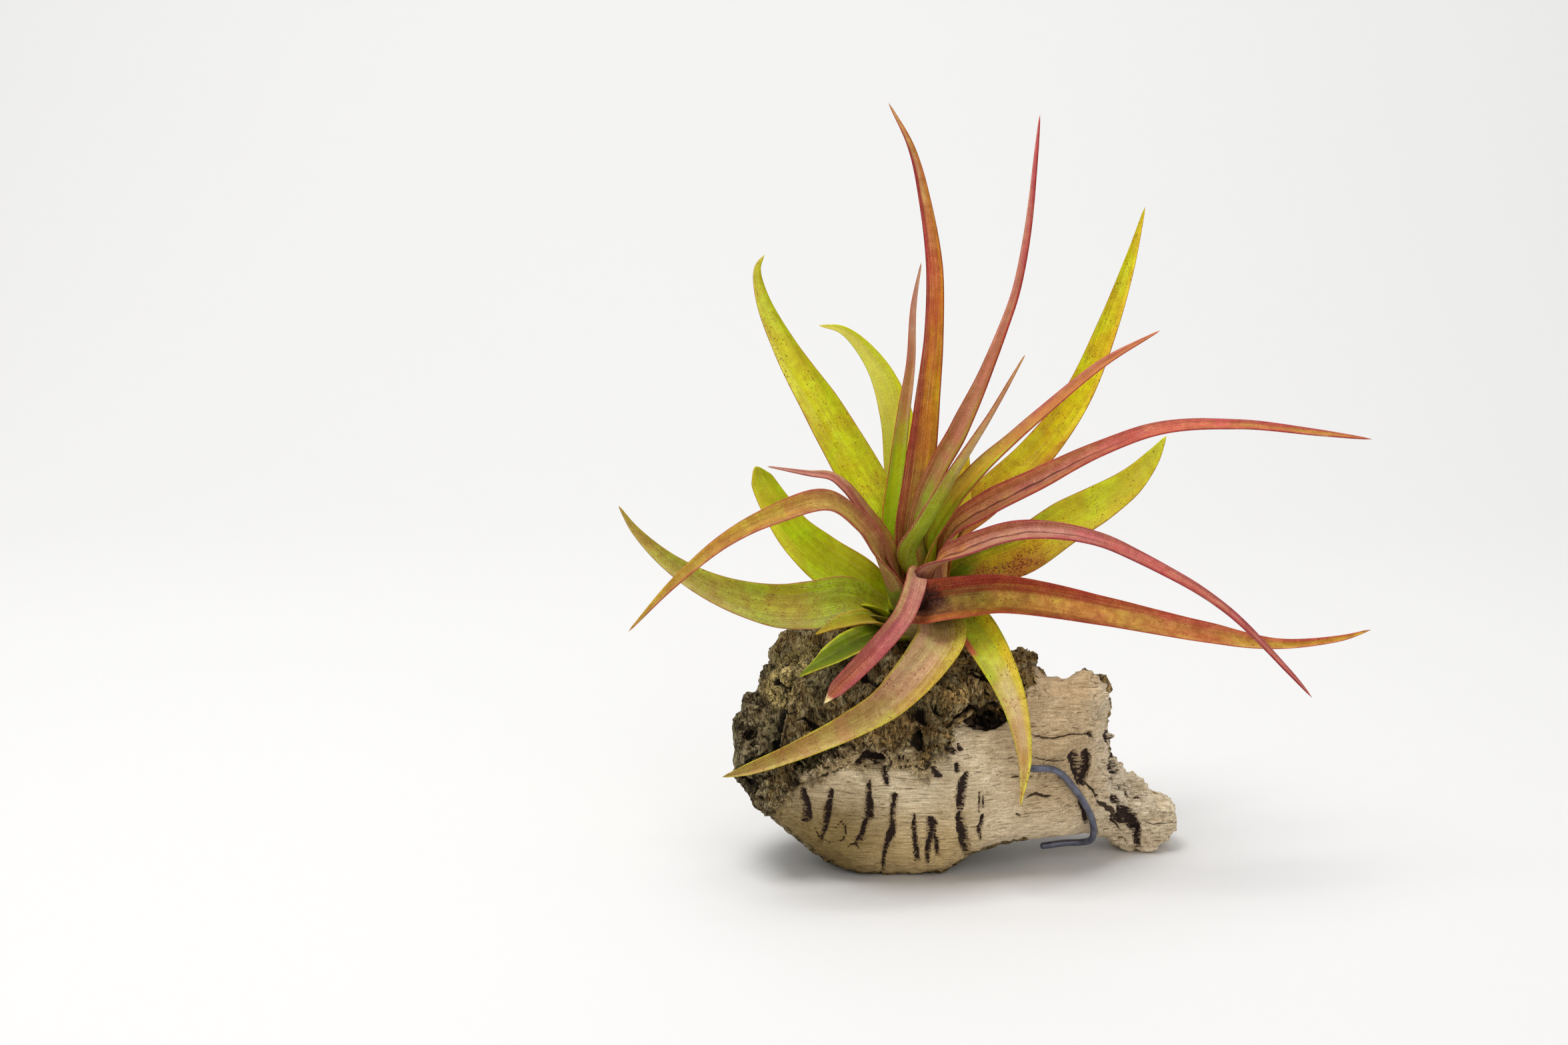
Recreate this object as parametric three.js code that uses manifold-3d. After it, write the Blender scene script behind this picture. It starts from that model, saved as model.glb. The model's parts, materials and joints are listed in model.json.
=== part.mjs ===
// An air plant with a rosette of arching leaves, held by a wire on a piece of cork bark.
// Millimetres, +Z up, +X to the right of the front view, +Y to the back. The origin is the middle
// of the flat spot under the cork that the whole thing rests on.
import * as THREE from 'three';
import { mergeVertices } from 'three/addons/utils/BufferGeometryUtils.js';
import Module from 'manifold-3d';

const wasm = await Module();
wasm.setup();

// The front view that the routes are read in: where the eye stands, seen from the origin.
const EYE_DISTANCE = 871;
const EYE_RISE = THREE.MathUtils.degToRad(12);
const EYE_ACROSS = -29.3;
const EYE_UP = 86;

// What all pieces share.
const GAP = 0.3;            // left between two pieces that touch
const MERGE = 0.01;         // edges shorter than this are merged after a cut
const WELD = 1e-5;          // points closer than this are one

// The stem, a short cone that leans a little forward, with its foot sunk in the cork.
const STEM_FOOT = new THREE.Vector3(2.5, 7, 54);
const STEM_TOP = new THREE.Vector3(5, 4, 76);
const STEM_FOOT_RADIUS = 4.6;
const STEM_TOP_RADIUS = 1.6;
const STEM_SIDES = 12;
// Its outline from the foot up: a share of the foot's radius, and a share of the length.
const STEM_OUTLINE = [[0.8, 0], [1, 0.12], [0.9, 0.35]];
const STEM_SHOULDER = 0.85;     // where it has narrowed to its top radius

// Where the leaves stand on the stem, from the youngest at its top to the oldest at its foot.
const FOOT_HIGH = 0.80;     // as a share of the stem's length
const FOOT_LOW = 0.14;
const FOOT_NEAR = 2.6;      // how far from the stem's axis
const FOOT_FAR = 8.4;

// The blades.
const BLADE_COLUMNS = [-1, -0.5, 0, 0.5, 1];
const BLADE_STEP = 8.5;     // length between two sections
const FEWEST_STEPS = 8;
const FOOT_THICK = 1.3;
const TIP_THICK = 0.8;
const CLASP = 0.34;         // how deep a foot is channelled, as a share of its width
const CLASP_SHARE = 0.24;   // the share of a leaf's length over which that eases into its blade
const HOLLOW_MIDDLE = 0.4;  // lowers a hollowed section so that the midrib runs through its middle

const COLOURS = {
  green: 0xb5b820, pale: 0xc2c455, red: 0xb4562a, rose: 0xb8606a, tan: 0xbfa075,
  heart: 0x8fa52a, cork: 0xb39a72, wire: 0x6b6e7a, stem: 0x7c7a3c,
};

// The leaves, from the youngest to the oldest. A row of a route is a place on the midrib as the
// front view shows it: across, up, how far back it lies, and the blade's real width there.
// The face is the way the upper side looks, the sheath is the width of the foot, and the channel
// is how deep the blade is hollowed, as a share of its width. A leaf's own clasp stands for
// CLASP_SHARE.
const LEAVES = [
  { colour: 'heart', face: [0.4, -0.9, 0.1], sheath: 5, channel: 0.24, route: [
    [-2.5, 83.5, 7, 5.2], [-1.5, 98, 10, 4.8], [0.5, 114, 13, 3.4], [2.2, 126, 15, 2.4],
    [3, 140, 16, 1.6], [5, 151, 16, 0.8]] },
  { colour: 'heart', face: [-0.6, 0.5, 0.6], sheath: 6, channel: 0.26, route: [
    [2.6, 79, 1, 7.4], [6, 85.5, -2, 7.4], [11, 94.4, -6, 6], [15.6, 102, -9, 4.4], [21.6, 111.5, -13, 2.4],
    [31, 128, -17, 0.8]] },
  { colour: 'red', face: [-0.8, -0.6, 0.2], sheath: 7, channel: 0.24, route: [
    [4, 84, 3, 6.8], [9, 98, 0, 7], [15, 109, -3, 6.6], [20.5, 121, -5.5, 4.8], [26, 135, -7, 3.2],
    [29, 144, -8, 2.8], [31.7, 158, -8, 2.5], [33.8, 178, -6, 1.3], [34.7, 188, -4, 0.8]] },
  { colour: 'red', face: [-0.3, -1, 0.1], sheath: 8, channel: 0.2, route: [
    [2.2, 81, 6, 8], [4.7, 98, 7, 8], [6.9, 118, 8, 6.1], [8.3, 133, 9, 4.9], [8.4, 150, 11, 4.3],
    [5.9, 167, 12, 3], [2.5, 180, 12, 1.8], [-3.2, 191, 12, 0.8]] },
  { colour: 'red', face: [-0.5, -0.6, 0.65], sheath: 6, channel: 0.24, route: [
    [7.4, 80.7, 1, 6.6], [12.4, 90.2, -1, 7], [18.2, 97.4, -4, 6.2], [26, 105, -7, 4.4],
    [33.9, 112, -10, 3.7], [50.5, 125.7, -13, 2.8],
    [64.7, 134, -13, 0.8]] },
  { colour: 'heart', face: [-0.3, -1, 0.2], sheath: 7, channel: 0.2, route: [
    [10, 81, 9, 7.2], [14.5, 92, 14, 6.8], [16.7, 105, 19, 0.8]] },
  { colour: 'rose', face: [0.5, -0.6, 0.6], sheath: 6, channel: 0.26, route: [
    [-4.3, 81, -1, 5.4], [-10.3, 89.7, -6, 5], [-14.2, 94.8, -9, 3.8], [-17.7, 97.5, -10, 2.6],
    [-23.2, 98.2, -11, 1.6], [-33.5, 100, -13, 0.8]] },
  { colour: 'pale', face: [0.2, -1, 0.2], sheath: 9, channel: 0.14, route: [
    [2.2, 83, 12, 8.5], [0.3, 98, 20, 9.5], [-1.7, 114, 27, 8.5], [-6.8, 126, 30, 5.2],
    [-14.5, 134, 29, 2.2], [-20.7, 135.3, 28, 0.8]] },
  { colour: 'rose', face: [0.3, -0.8, 0.6], sheath: 8, channel: 0.22, route: [
    [3.8, 72.5, -9, 5.4], [3, 69, -14, 5.4], [0.2, 62.2, -21, 5.2], [-6.8, 53.7, -28, 5],
    [-12.2, 48.2, -31, 4.6], [-16.3, 44.2, -32, 3.8], [-19.2, 40.8, -33, 1.6]] },
  { colour: 'rose', face: [-0.2, -0.5, 0.85], sheath: 9, channel: 0.2, route: [
    [12, 83, 0, 8], [22, 90, -3, 9], [34.5, 96.3, -6, 8.4], [49.3, 103.7, -9, 6], [65, 109.3, -11, 4.4],
    [84, 110.3, -11, 3.4], [105, 108.2, -9, 2.2], [117.7, 106.8, -8, 0.8]] },
  { colour: 'rose', face: [0, -0.5, 0.85], sheath: 9, channel: 0.22, route: [
    [7.7, 75.5, -7, 8], [15.3, 79, -12, 8.4], [25, 82.5, -17, 8], [34.5, 83.7, -21, 6.4],
    [49.3, 81.3, -26, 4.8], [65, 74.2, -30, 3.8], [81, 64.3, -33, 2.6], [97, 48.5, -34, 1.6],
    [102.7, 42.2, -34, 0.8]] },
  { colour: 'tan', face: [0.1, -0.6, 0.8], sheath: 8, channel: 0.22, route: [
    [-5.8, 79, -9, 7.5], [-10.3, 85.5, -13, 7.2], [-19, 91, -19, 7], [-31.7, 87.5, -25, 5.8],
    [-44.3, 81, -29, 4], [-57, 70.5, -32, 2.4], [-68.2, 58.7, -33, 0.8]] },
  { colour: 'green', face: [-0.3, -0.95, 0.3], sheath: 10, channel: 0.12, route: [
    [11, 82, 10, 9], [21.3, 92, 16, 9.4], [33, 102.5, 22, 9.2], [43.5, 116.5, 25, 7.6],
    [51.3, 134, 27, 5.6], [57, 150.5, 29, 3.2], [61, 165, 30, 0.8]] },
  { colour: 'green', face: [0.4, -0.95, 0.1], sheath: 11, channel: 0.12, route: [
    [-3, 85, 10, 11], [-10.7, 98.3, 16, 12.2], [-19.7, 114, 22, 10.4], [-29.3, 130, 27, 6.4],
    [-34.8, 142, 29, 3.6], [-36, 149.5, 30, 1.8], [-34.2, 153, 31, 0.8]] },
  { colour: 'red', face: [0, -0.75, 0.65], sheath: 11, channel: 0.26, clasp: 0.12, route: [
    [6, 65, -10.5, 12], [22, 67.2, -12, 10.8], [34.5, 66.3, -15, 9.4], [57.3, 61.9, -17, 7.4],
    [78.5, 57.7, -16, 5.6], [94.5, 55.5, -14, 2.8], [110, 57, -12, 1.6], [117.5, 59.2, -11, 0.8]] },
  { colour: 'green', face: [-0.3, -0.85, 0.4], sheath: 11, channel: 0.12, route: [
    [14.4, 72, 8, 12.2], [31, 79, 12, 12], [41.3, 86, 15, 11.6], [49.3, 90.5, 17, 10.2],
    [57.3, 96, 18, 7.6], [62.7, 102, 19, 4.4], [66.3, 107.7, 20, 0.8]] },
  { colour: 'green', face: [0.4, -0.9, 0.2], sheath: 12, channel: 0.12, route: [
    [-11.7, 71.5, 11, 13], [-20.5, 77.5, 14, 12], [-27, 83.5, 16, 9.8], [-31.2, 89.7, 18, 8.4],
    [-34.5, 95.5, 19, 6.6], [-36.5, 100, 19, 4.4]] },
  { colour: 'pale', face: [0.1, -0.85, 0.5], sheath: 12, channel: 0.14, route: [
    [-12.5, 66.3, 3, 12.5], [-22.7, 65, 2, 12.6], [-32, 65, 2, 11.4], [-46.5, 69.3, 2, 7.4],
    [-58, 76, 4, 4.6], [-66.5, 84, 6, 2.2], [-70.7, 90.2, 6, 0.8]] },
  { colour: 'green', face: [-0.2, -0.6, 0.75], sheath: 10, channel: 0.16, route: [
    [14, 63, -4, 10], [18.5, 59.3, -10, 10], [23.5, 51.5, -17, 8.6], [28.5, 40, -23, 6],
    [31, 26.2, -26, 3.2], [29.8, 15, -26, 0.8]] },
  { colour: 'tan', face: [-0.1, -0.8, 0.6], sheath: 11, channel: 0.16, route: [
    [8.5, 62, -7, 11], [10.2, 57.5, -14, 12], [7, 52, -19.5, 11.4], [1.8, 45.7, -24, 10.2],
    [-5.2, 39.3, -28, 8.4], [-22.7, 30.2, -33, 5.5], [-38, 24.2, -34, 3], [-44.8, 22.3, -34, 0.8]] },
  { colour: 'green', face: [0, -0.4, 1], sheath: 8, channel: 0.2, route: [
    [-8, 62, -4, 6.4], [-15, 60.7, -6, 5], [-21.5, 58, -7, 0.8]] },
  { colour: 'green', face: [0, -0.3, 1], sheath: 9, channel: 0.22, route: [
    [-6, 57.6, -8, 8.8], [-12, 55.2, -13, 9.2], [-18, 51.8, -17, 7.2], [-25.5, 47.5, -19, 0.8]] },
  { colour: 'green', face: [0, -0.6, 1], sheath: 9, channel: 0.18, route: [
    [6, 84, 20, 9], [8, 90, 32, 8], [8, 90, 45, 6.4], [8, 84, 58, 4], [8, 74, 70, 0.8]] },
  { colour: 'green', face: [-0.4, -0.6, 0.8], sheath: 10, channel: 0.16, route: [
    [22, 77, 24, 9], [32, 79, 34, 8], [41, 86, 44, 6], [48, 89.5, 53, 3.6], [53, 92.5, 61, 0.8]] },
  { colour: 'green', face: [0.4, -0.6, 0.8], sheath: 10, channel: 0.16, route: [
    [-11, 73, 24, 9], [-19, 77, 36, 8], [-26, 82, 46, 5.4], [-31, 89, 55, 0.8]] },
  { colour: 'green', face: [0, 0, 1], sheath: 10, channel: 0.16, route: [
    [3, 65, 24, 10], [0, 59, 36, 9], [-5, 48, 45, 6.4], [-12, 34, 51, 0.8]] },
];

// The cork. A row is a cut across it: where it is along X, its top, bottom, front and back.
// A bottom below 0 is levelled at 0, which makes the flat spots that it rests on.
const CORK_ROWS = [
  [-41.5, 33, 27, 0, 8], [-40.5, 36, 23, -5, 14], [-37, 40.5, 17, -10, 20], [-33, 46, 13, -13, 25],
  [-28.5, 52.5, 9, -15, 28], [-24, 55, 5, -17, 30], [-18, 56.6, 0, -19, 31], [-11, 58, -3, -20, 32],
  [0, 57.4, -3.5, -20, 33], [10, 55.6, -3, -20, 33], [17, 53, 2, -19, 32], [25, 50, 5, -17, 31],
  [30, 49.5, 5.8, -15, 30], [32.5, 49.5, 5.8, -14, 30], [34, 46.5, 5.8, -13, 29],
  [41, 45.5, 6, -10, 28], [46, 48.5, 6, -7, 28], [50, 46.5, 4.6, -3, 28], [52, 43.2, 3.4, 1, 28],
  [52.8, 35.6, 2.4, 3, 28], [53.8, 25.4, 0.8, 5, 29], [58, 20.2, -1.4, 7, 29], [64, 15.8, -1.2, 8.5, 28],
  [68.5, 11.8, 1.6, 11, 24], [70.3, 8.6, 4.2, 14, 20],
];
const CORK_SECTIONS = 54;
const CORK_SIDES = 36;
const CORK_SQUARE_ABOVE = 2.8;  // how boxy a cut is: 2 is an ellipse
const CORK_SQUARE_BELOW = 2.1;
const CORK_LUMPS = [
  { size: 21, height: 2.4 },
  { size: 9, height: 2.0 },
  { size: 4.6, height: 0.9 },
];
const LUMP_TOP = 0.8;       // a lump's height where its noise is 0, and how fast it falls from there
const LUMP_FALL = 2.4;
// The front is what looks more than this far forward, as a cosine, and is full front at the second.
const FRONT_FROM = 0.2;
const FRONT_FULL = 0.8;
// The ends, as a share of the length, and the underside, as a share of the height, stay unlumped.
const CALM_END = 0.06;
const CALM_UNDER = 0.4;
// Pits and bosses of the front, as the front view shows them: place across and up, half width,
// half height, and depth.
const CORK_PITS = [
  { across: 19.2, up: 38.6, wide: 6.6, high: 4.2, deep: 7 },
  { across: 45.5, up: 24.6, wide: 2.8, high: 3.8, deep: 2.5 },
  { across: 56.8, up: 12.5, wide: 3.2, high: 6, deep: 2 },
  { across: -14.5, up: 25.5, wide: 5, high: 3.5, deep: -2 },
  { across: -7.5, up: 26.8, wide: 4, high: 2.2, deep: 2.2 },
  { across: 32.5, up: 46.5, wide: 1.8, high: 4.5, deep: 3.5 },
];
// The rough bark stands out over the smooth lower front above a line, as the front view shows it.
const BARK_STEP = 2.6;
const BARK_LINE_SOFT = 2.5;
const BARK_LINE = [
  [-45, 12], [-33, 15], [-27, 21.3], [-18.5, 27.5], [-11.2, 29.3], [-3.8, 30], [2.2, 28.3],
  [3.8, 26.3], [7.5, 25], [8.8, 29], [12.2, 29], [13.8, 35], [19, 36], [25, 39], [28.5, 46],
  [33, 50.5], [75, 50.5],
];
const SMOOTH_FRONT = 0.6;       // how much of the lumps the lower front goes without

// What mixes a lattice point into its noise value.
const HASH = [12.9898, 78.233, 37.719, 43758.5453];

// The wire: out of the stem's foot, through the cork, down its front and under its edge.
const WIRE_RADIUS = 0.85;
const WIRE_SIDES = 8;
const WIRE_STEPS = 44;
const WIRE_ROUTE = [
  [2.9, 6.5, 58], [3.4, 7, 51], [9, 3.5, 42], [19, -5, 34.5], [27, -12.8, 29.8],
  [32, -16.6, 30.2], [35.8, -15.4, 29.7], [39.1, -12.4, 27.1], [43.2, -8, 21.2], [45.8, -5.6, 16.6],
  [47.2, -3.2, 13], [47.9, -0.4, 8.6], [47.2, 2, 6.2], [45, 3.6, 5.2], [41, 4, 4.9], [35, 3, 4.4],
];

const sight = new THREE.Vector3(0, Math.cos(EYE_RISE), -Math.sin(EYE_RISE));
const viewUp = new THREE.Vector3(0, Math.sin(EYE_RISE), Math.cos(EYE_RISE));
const viewAcross = new THREE.Vector3(1, 0, 0);
const eye = new THREE.Vector3()
  .addScaledVector(viewAcross, EYE_ACROSS)
  .addScaledVector(viewUp, EYE_UP)
  .addScaledVector(sight, -EYE_DISTANCE);

// The point that the front view shows at (across, up) and that lies that far back.
function seen(across, up, back) {
  const ray = new THREE.Vector3()
    .addScaledVector(sight, EYE_DISTANCE)
    .addScaledVector(viewAcross, across - EYE_ACROSS)
    .addScaledVector(viewUp, up - EYE_UP);
  return eye.clone().addScaledVector(ray, (back - eye.y) / ray.y);
}

// Where the front view shows a point.
function shown(point) {
  const ray = point.clone().sub(eye);
  const scale = EYE_DISTANCE / ray.dot(sight);
  return {
    across: EYE_ACROSS + scale * ray.dot(viewAcross),
    up: EYE_UP + scale * ray.dot(viewUp),
  };
}

function smooth(from, to, value) {
  return THREE.MathUtils.smoothstep(value, from, to);
}

// The cork's row at a share of the way along its table, which moves slowly where the rows change
// quickly, so that its steep ends get more sections.
const corkReach = [0];
CORK_ROWS.slice(1).forEach((row, i) => {
  const change = row.map((value, column) => value - CORK_ROWS[i][column]);
  corkReach.push(corkReach[i] + Math.hypot(...change));
});

function corkRow(along) {
  const reach = along * corkReach[corkReach.length - 1];
  let i = 0;
  while (i < CORK_ROWS.length - 2 && corkReach[i + 1] < reach) i += 1;
  const share = (reach - corkReach[i]) / (corkReach[i + 1] - corkReach[i]);
  const next = CORK_ROWS[i + 1];
  return CORK_ROWS[i].map((value, column) => THREE.MathUtils.lerp(value, next[column], share));
}

// How high the bark's lower edge is at a place across.
function barkLine(across) {
  let i = 0;
  while (i < BARK_LINE.length - 2 && BARK_LINE[i + 1][0] < across) i += 1;
  const [from, low] = BARK_LINE[i];
  const [to, high] = BARK_LINE[i + 1];
  return THREE.MathUtils.mapLinear(THREE.MathUtils.clamp(across, from, to), from, to, low, high);
}

// Rings of points, one after another, become one closed geometry. Each end is closed by a strip
// between the first half of its ring and the second, so a hollowed section closes as well.
function loft(rings) {
  const sides = rings[0].length;
  const positions = rings.flat().flatMap((point) => [point.x, point.y, point.z]);
  const index = [];
  for (let r = 0; r + 1 < rings.length; r += 1) {
    for (let s = 0; s < sides; s += 1) {
      const next = (s + 1) % sides;
      const a = r * sides + s;
      const b = r * sides + next;
      const c = a + sides;
      const d = b + sides;
      index.push(a, b, d, a, d, c);
    }
  }
  for (let s = 0; s + 1 < sides / 2; s += 1) {
    const cap = [s, s + 1, sides - 2 - s, sides - 1 - s];
    const [a, b, c, d] = cap;
    index.push(a, c, b, a, d, c);
    const [e, f, g, h] = cap.map((place) => place + (rings.length - 1) * sides);
    index.push(e, f, g, e, g, h);
  }
  const geometry = new THREE.BufferGeometry();
  geometry.setAttribute('position', new THREE.Float32BufferAttribute(positions, 3));
  geometry.setIndex(index);
  return geometry;
}

function solid(geometry) {
  const bare = geometry.clone();
  bare.deleteAttribute('normal');
  bare.deleteAttribute('uv');
  const merged = mergeVertices(bare, WELD);
  return new wasm.Manifold(new wasm.Mesh({
    numProp: 3,
    vertProperties: new Float32Array(merged.attributes.position.array),
    triVerts: new Uint32Array(merged.index.array),
  }));
}

function overlaps(one, other) {
  const a = one.boundingBox();
  const b = other.boundingBox();
  return [0, 1, 2].every((k) => a.min[k] < b.max[k] && b.min[k] < a.max[k]);
}

// What is left of a body after its neighbours are cut out of it: the largest piece.
function cut(body, neighbours) {
  const near = neighbours.filter((neighbour) => overlaps(body, neighbour));
  if (near.length === 0) return body;
  const pieces = wasm.Manifold.difference([body, ...near]).simplify(MERGE).decompose();
  pieces.sort((one, other) => other.volume() - one.volume());
  return pieces[0];
}

function meshOf(name, body, colour, roughness, metalness) {
  const data = body.getMesh();
  const geometry = new THREE.BufferGeometry();
  geometry.setAttribute('position', new THREE.Float32BufferAttribute(data.vertProperties, 3));
  geometry.setIndex([...data.triVerts]);
  geometry.computeVertexNormals();
  const material = new THREE.MeshStandardMaterial({
    color: colour, roughness, metalness, flatShading: true,
  });
  const mesh = new THREE.Mesh(geometry, material);
  mesh.name = name;
  return mesh;
}

function stemAt(share) {
  return STEM_FOOT.clone().lerp(STEM_TOP, share);
}

function stemBody(grow) {
  const axis = STEM_TOP.clone().sub(STEM_FOOT);
  const length = axis.length();
  const profile = [
    new THREE.Vector2(0, -grow),
    ...STEM_OUTLINE.map(([wide, high]) => (
      new THREE.Vector2(STEM_FOOT_RADIUS * wide + grow, high ? length * high : -grow))),
    new THREE.Vector2(STEM_TOP_RADIUS + grow, length * STEM_SHOULDER),
    new THREE.Vector2(0, length + grow),
  ];
  const geometry = new THREE.LatheGeometry(profile, STEM_SIDES);
  const upright = new THREE.Quaternion().setFromUnitVectors(
    new THREE.Vector3(0, 1, 0), axis.clone().normalize());
  geometry.applyQuaternion(upright);
  geometry.translate(STEM_FOOT.x, STEM_FOOT.y, STEM_FOOT.z);
  return solid(geometry);
}

// The midrib of a leaf, from its foot on the stem through the points of its route, and the way
// that the hollow side of its foot looks.
function midrib(leaf, age) {
  const points = leaf.route.map(([across, up, back]) => seen(across, up, back));
  const axis = STEM_TOP.clone().sub(STEM_FOOT).normalize();
  const root = stemAt(THREE.MathUtils.lerp(FOOT_HIGH, FOOT_LOW, age));
  const middle = points[Math.floor(points.length / 2)];
  const outward = middle.clone().sub(root).projectOnPlane(axis).normalize();
  const foot = root.clone().addScaledVector(outward, THREE.MathUtils.lerp(FOOT_NEAR, FOOT_FAR, age));
  const clasp = axis.clone().sub(outward);
  return { curve: new THREE.CatmullRomCurve3([foot, ...points], false, 'centripetal'), clasp };
}

// A leaf as a loft of channelled sections along its midrib.
function leafBody(leaf, age, grow) {
  const { curve, clasp } = midrib(leaf, age);
  const widths = [leaf.sheath, ...leaf.route.map((row) => row[3])];
  const steps = Math.max(FEWEST_STEPS, Math.round(curve.getLength() / BLADE_STEP));
  const face = new THREE.Vector3(...leaf.face).normalize();
  const rings = [];
  for (let i = 0; i <= steps; i += 1) {
    const share = i / steps;
    const t = curve.getUtoTmapping(share);
    const place = t * (widths.length - 1);
    const w = Math.min(Math.floor(place), widths.length - 2);
    const width = THREE.MathUtils.lerp(widths[w], widths[w + 1], place - w);
    const hold = 1 - smooth(0, leaf.clasp ?? CLASP_SHARE, share);
    const along = curve.getTangent(t);
    const centre = curve.getPoint(t);
    if (i === 0) centre.addScaledVector(along, -grow);
    if (i === steps) centre.addScaledVector(along, grow);
    const upper = face.clone().lerp(clasp, hold).projectOnPlane(along).normalize();
    const side = along.clone().cross(upper);
    const thick = THREE.MathUtils.lerp(FOOT_THICK, TIP_THICK, share) + 2 * grow;
    const channel = THREE.MathUtils.lerp(leaf.channel, CLASP, hold) * width;
    const row = (level) => BLADE_COLUMNS.map((column) => {
      const u = column * (1 + (Math.abs(column) === 1 ? 2 * grow / width : 0));
      return centre.clone()
        .addScaledVector(side, u * width / 2)
        .addScaledVector(upper, channel * (u * u - HOLLOW_MIDDLE) + level * thick / 2);
    });
    rings.push([...row(1), ...row(-1).reverse()]);
  }
  return solid(loft(rings));
}

// Smooth noise from a lattice of hashed values.
function hash(i, j, k) {
  const value = Math.sin(i * HASH[0] + j * HASH[1] + k * HASH[2]) * HASH[3];
  return value - Math.floor(value);
}

function noise(x, y, z) {
  const cell = [Math.floor(x), Math.floor(y), Math.floor(z)];
  const ease = [x - cell[0], y - cell[1], z - cell[2]].map((f) => f * f * (3 - 2 * f));
  let sum = 0;
  for (let corner = 0; corner < 8; corner += 1) {
    const step = [corner & 1, (corner >> 1) & 1, (corner >> 2) & 1];
    const weights = step.map((far, axis) => (far ? ease[axis] : 1 - ease[axis]));
    const place = step.map((far, axis) => cell[axis] + far);
    sum += weights[0] * weights[1] * weights[2] * hash(...place);
  }
  return sum * 2 - 1;
}

// A point of the cork's surface: along is 0 to 1 from left to right, around is an angle from the
// back, over the top, to the front and under it.
function corkPoint(along, around) {
  const [x, top, bottom, front, back] = corkRow(along);
  const c = Math.cos(around);
  const s = Math.sin(around);
  const power = 2 / (s > 0 ? CORK_SQUARE_ABOVE : CORK_SQUARE_BELOW);
  const lean = Math.sign(c) * Math.abs(c) ** power;
  const rise = Math.sign(s) * Math.abs(s) ** power;
  const point = new THREE.Vector3(x, (front + back) / 2 + lean * (back - front) / 2,
    (top + bottom) / 2 + rise * (top - bottom) / 2);
  const facing = smooth(FRONT_FROM, FRONT_FULL, -c);
  const { across, up } = shown(point);
  for (const pit of CORK_PITS) {
    const spread = ((across - pit.across) / pit.wide) ** 2 + ((up - pit.up) / pit.high) ** 2;
    point.y += facing * pit.deep * Math.exp(-spread);
  }
  const line = barkLine(across);
  const bark = smooth(line - BARK_LINE_SOFT, line + BARK_LINE_SOFT, up);
  point.y -= facing * BARK_STEP * bark;
  const ends = smooth(0, CALM_END, along) * smooth(0, CALM_END, 1 - along);
  const calm = ends * smooth(-1, CALM_UNDER - 1, rise);
  const outward = new THREE.Vector3(0, lean, rise).normalize();
  let lump = 0;
  CORK_LUMPS.forEach(({ size, height }) => {
    const rough = Math.abs(noise(point.x / size, point.y / size, point.z / size));
    lump += height * (LUMP_TOP - LUMP_FALL * rough);
  });
  point.addScaledVector(outward, lump * calm * (1 - SMOOTH_FRONT * facing * (1 - bark)));
  point.z = Math.max(point.z, 0);
  return point;
}

function corkBody() {
  const rings = [];
  for (let i = 0; i <= CORK_SECTIONS; i += 1) {
    const ring = [];
    for (let j = 0; j < CORK_SIDES; j += 1) {
      ring.push(corkPoint(i / CORK_SECTIONS, (j / CORK_SIDES) * 2 * Math.PI));
    }
    rings.push(ring);
  }
  return solid(loft(rings));
}

function wireBody(grow) {
  const points = WIRE_ROUTE.map((point) => new THREE.Vector3(...point));
  const curve = new THREE.CatmullRomCurve3(points, false, 'centripetal');
  const section = new THREE.Shape();
  for (let i = 0; i < WIRE_SIDES; i += 1) {
    const angle = (i / WIRE_SIDES) * 2 * Math.PI;
    const radius = WIRE_RADIUS + grow;
    section[i ? 'lineTo' : 'moveTo'](radius * Math.cos(angle), radius * Math.sin(angle));
  }
  section.closePath();
  return solid(new THREE.ExtrudeGeometry(section, { steps: WIRE_STEPS, extrudePath: curve }));
}

function build() {
  const plant = new THREE.Group();
  const wireRoom = wireBody(GAP);
  const stem = cut(stemBody(0), [wireRoom]);
  const taken = [stemBody(GAP), wireRoom];
  LEAVES.forEach((leaf, i) => {
    const age = i / (LEAVES.length - 1);
    const name = `leaf_${String(i + 1).padStart(2, '0')}`;
    const body = cut(leafBody(leaf, age, 0), taken);
    plant.add(meshOf(name, body, COLOURS[leaf.colour], 0.7, 0));
    taken.push(leafBody(leaf, age, GAP));
  });
  plant.add(meshOf('stem', stem, COLOURS.stem, 0.8, 0));
  plant.add(meshOf('cork_bark', cut(corkBody(), taken), COLOURS.cork, 0.9, 0));
  plant.add(meshOf('wire', wireBody(0), COLOURS.wire, 0.45, 0.6));
  return plant;
}

export default build();
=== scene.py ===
"""An air plant wired on a piece of cork bark: the finished surfaces, the stage and the camera."""
import json
import math
from collections import namedtuple
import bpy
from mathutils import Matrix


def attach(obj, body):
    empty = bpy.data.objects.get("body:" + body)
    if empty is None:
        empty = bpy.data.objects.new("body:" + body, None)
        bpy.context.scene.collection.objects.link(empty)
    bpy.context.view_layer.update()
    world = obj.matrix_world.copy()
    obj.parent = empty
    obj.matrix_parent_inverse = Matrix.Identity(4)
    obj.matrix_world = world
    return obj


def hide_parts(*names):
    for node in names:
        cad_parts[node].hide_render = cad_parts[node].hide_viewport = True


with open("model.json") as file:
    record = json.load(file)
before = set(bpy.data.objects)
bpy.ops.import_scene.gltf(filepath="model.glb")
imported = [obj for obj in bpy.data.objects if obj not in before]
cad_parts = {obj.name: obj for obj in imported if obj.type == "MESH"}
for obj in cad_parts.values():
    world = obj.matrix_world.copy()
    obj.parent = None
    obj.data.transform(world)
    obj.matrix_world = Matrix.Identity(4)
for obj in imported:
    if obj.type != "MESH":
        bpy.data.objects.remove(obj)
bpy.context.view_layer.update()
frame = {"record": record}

from types import SimpleNamespace

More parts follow.
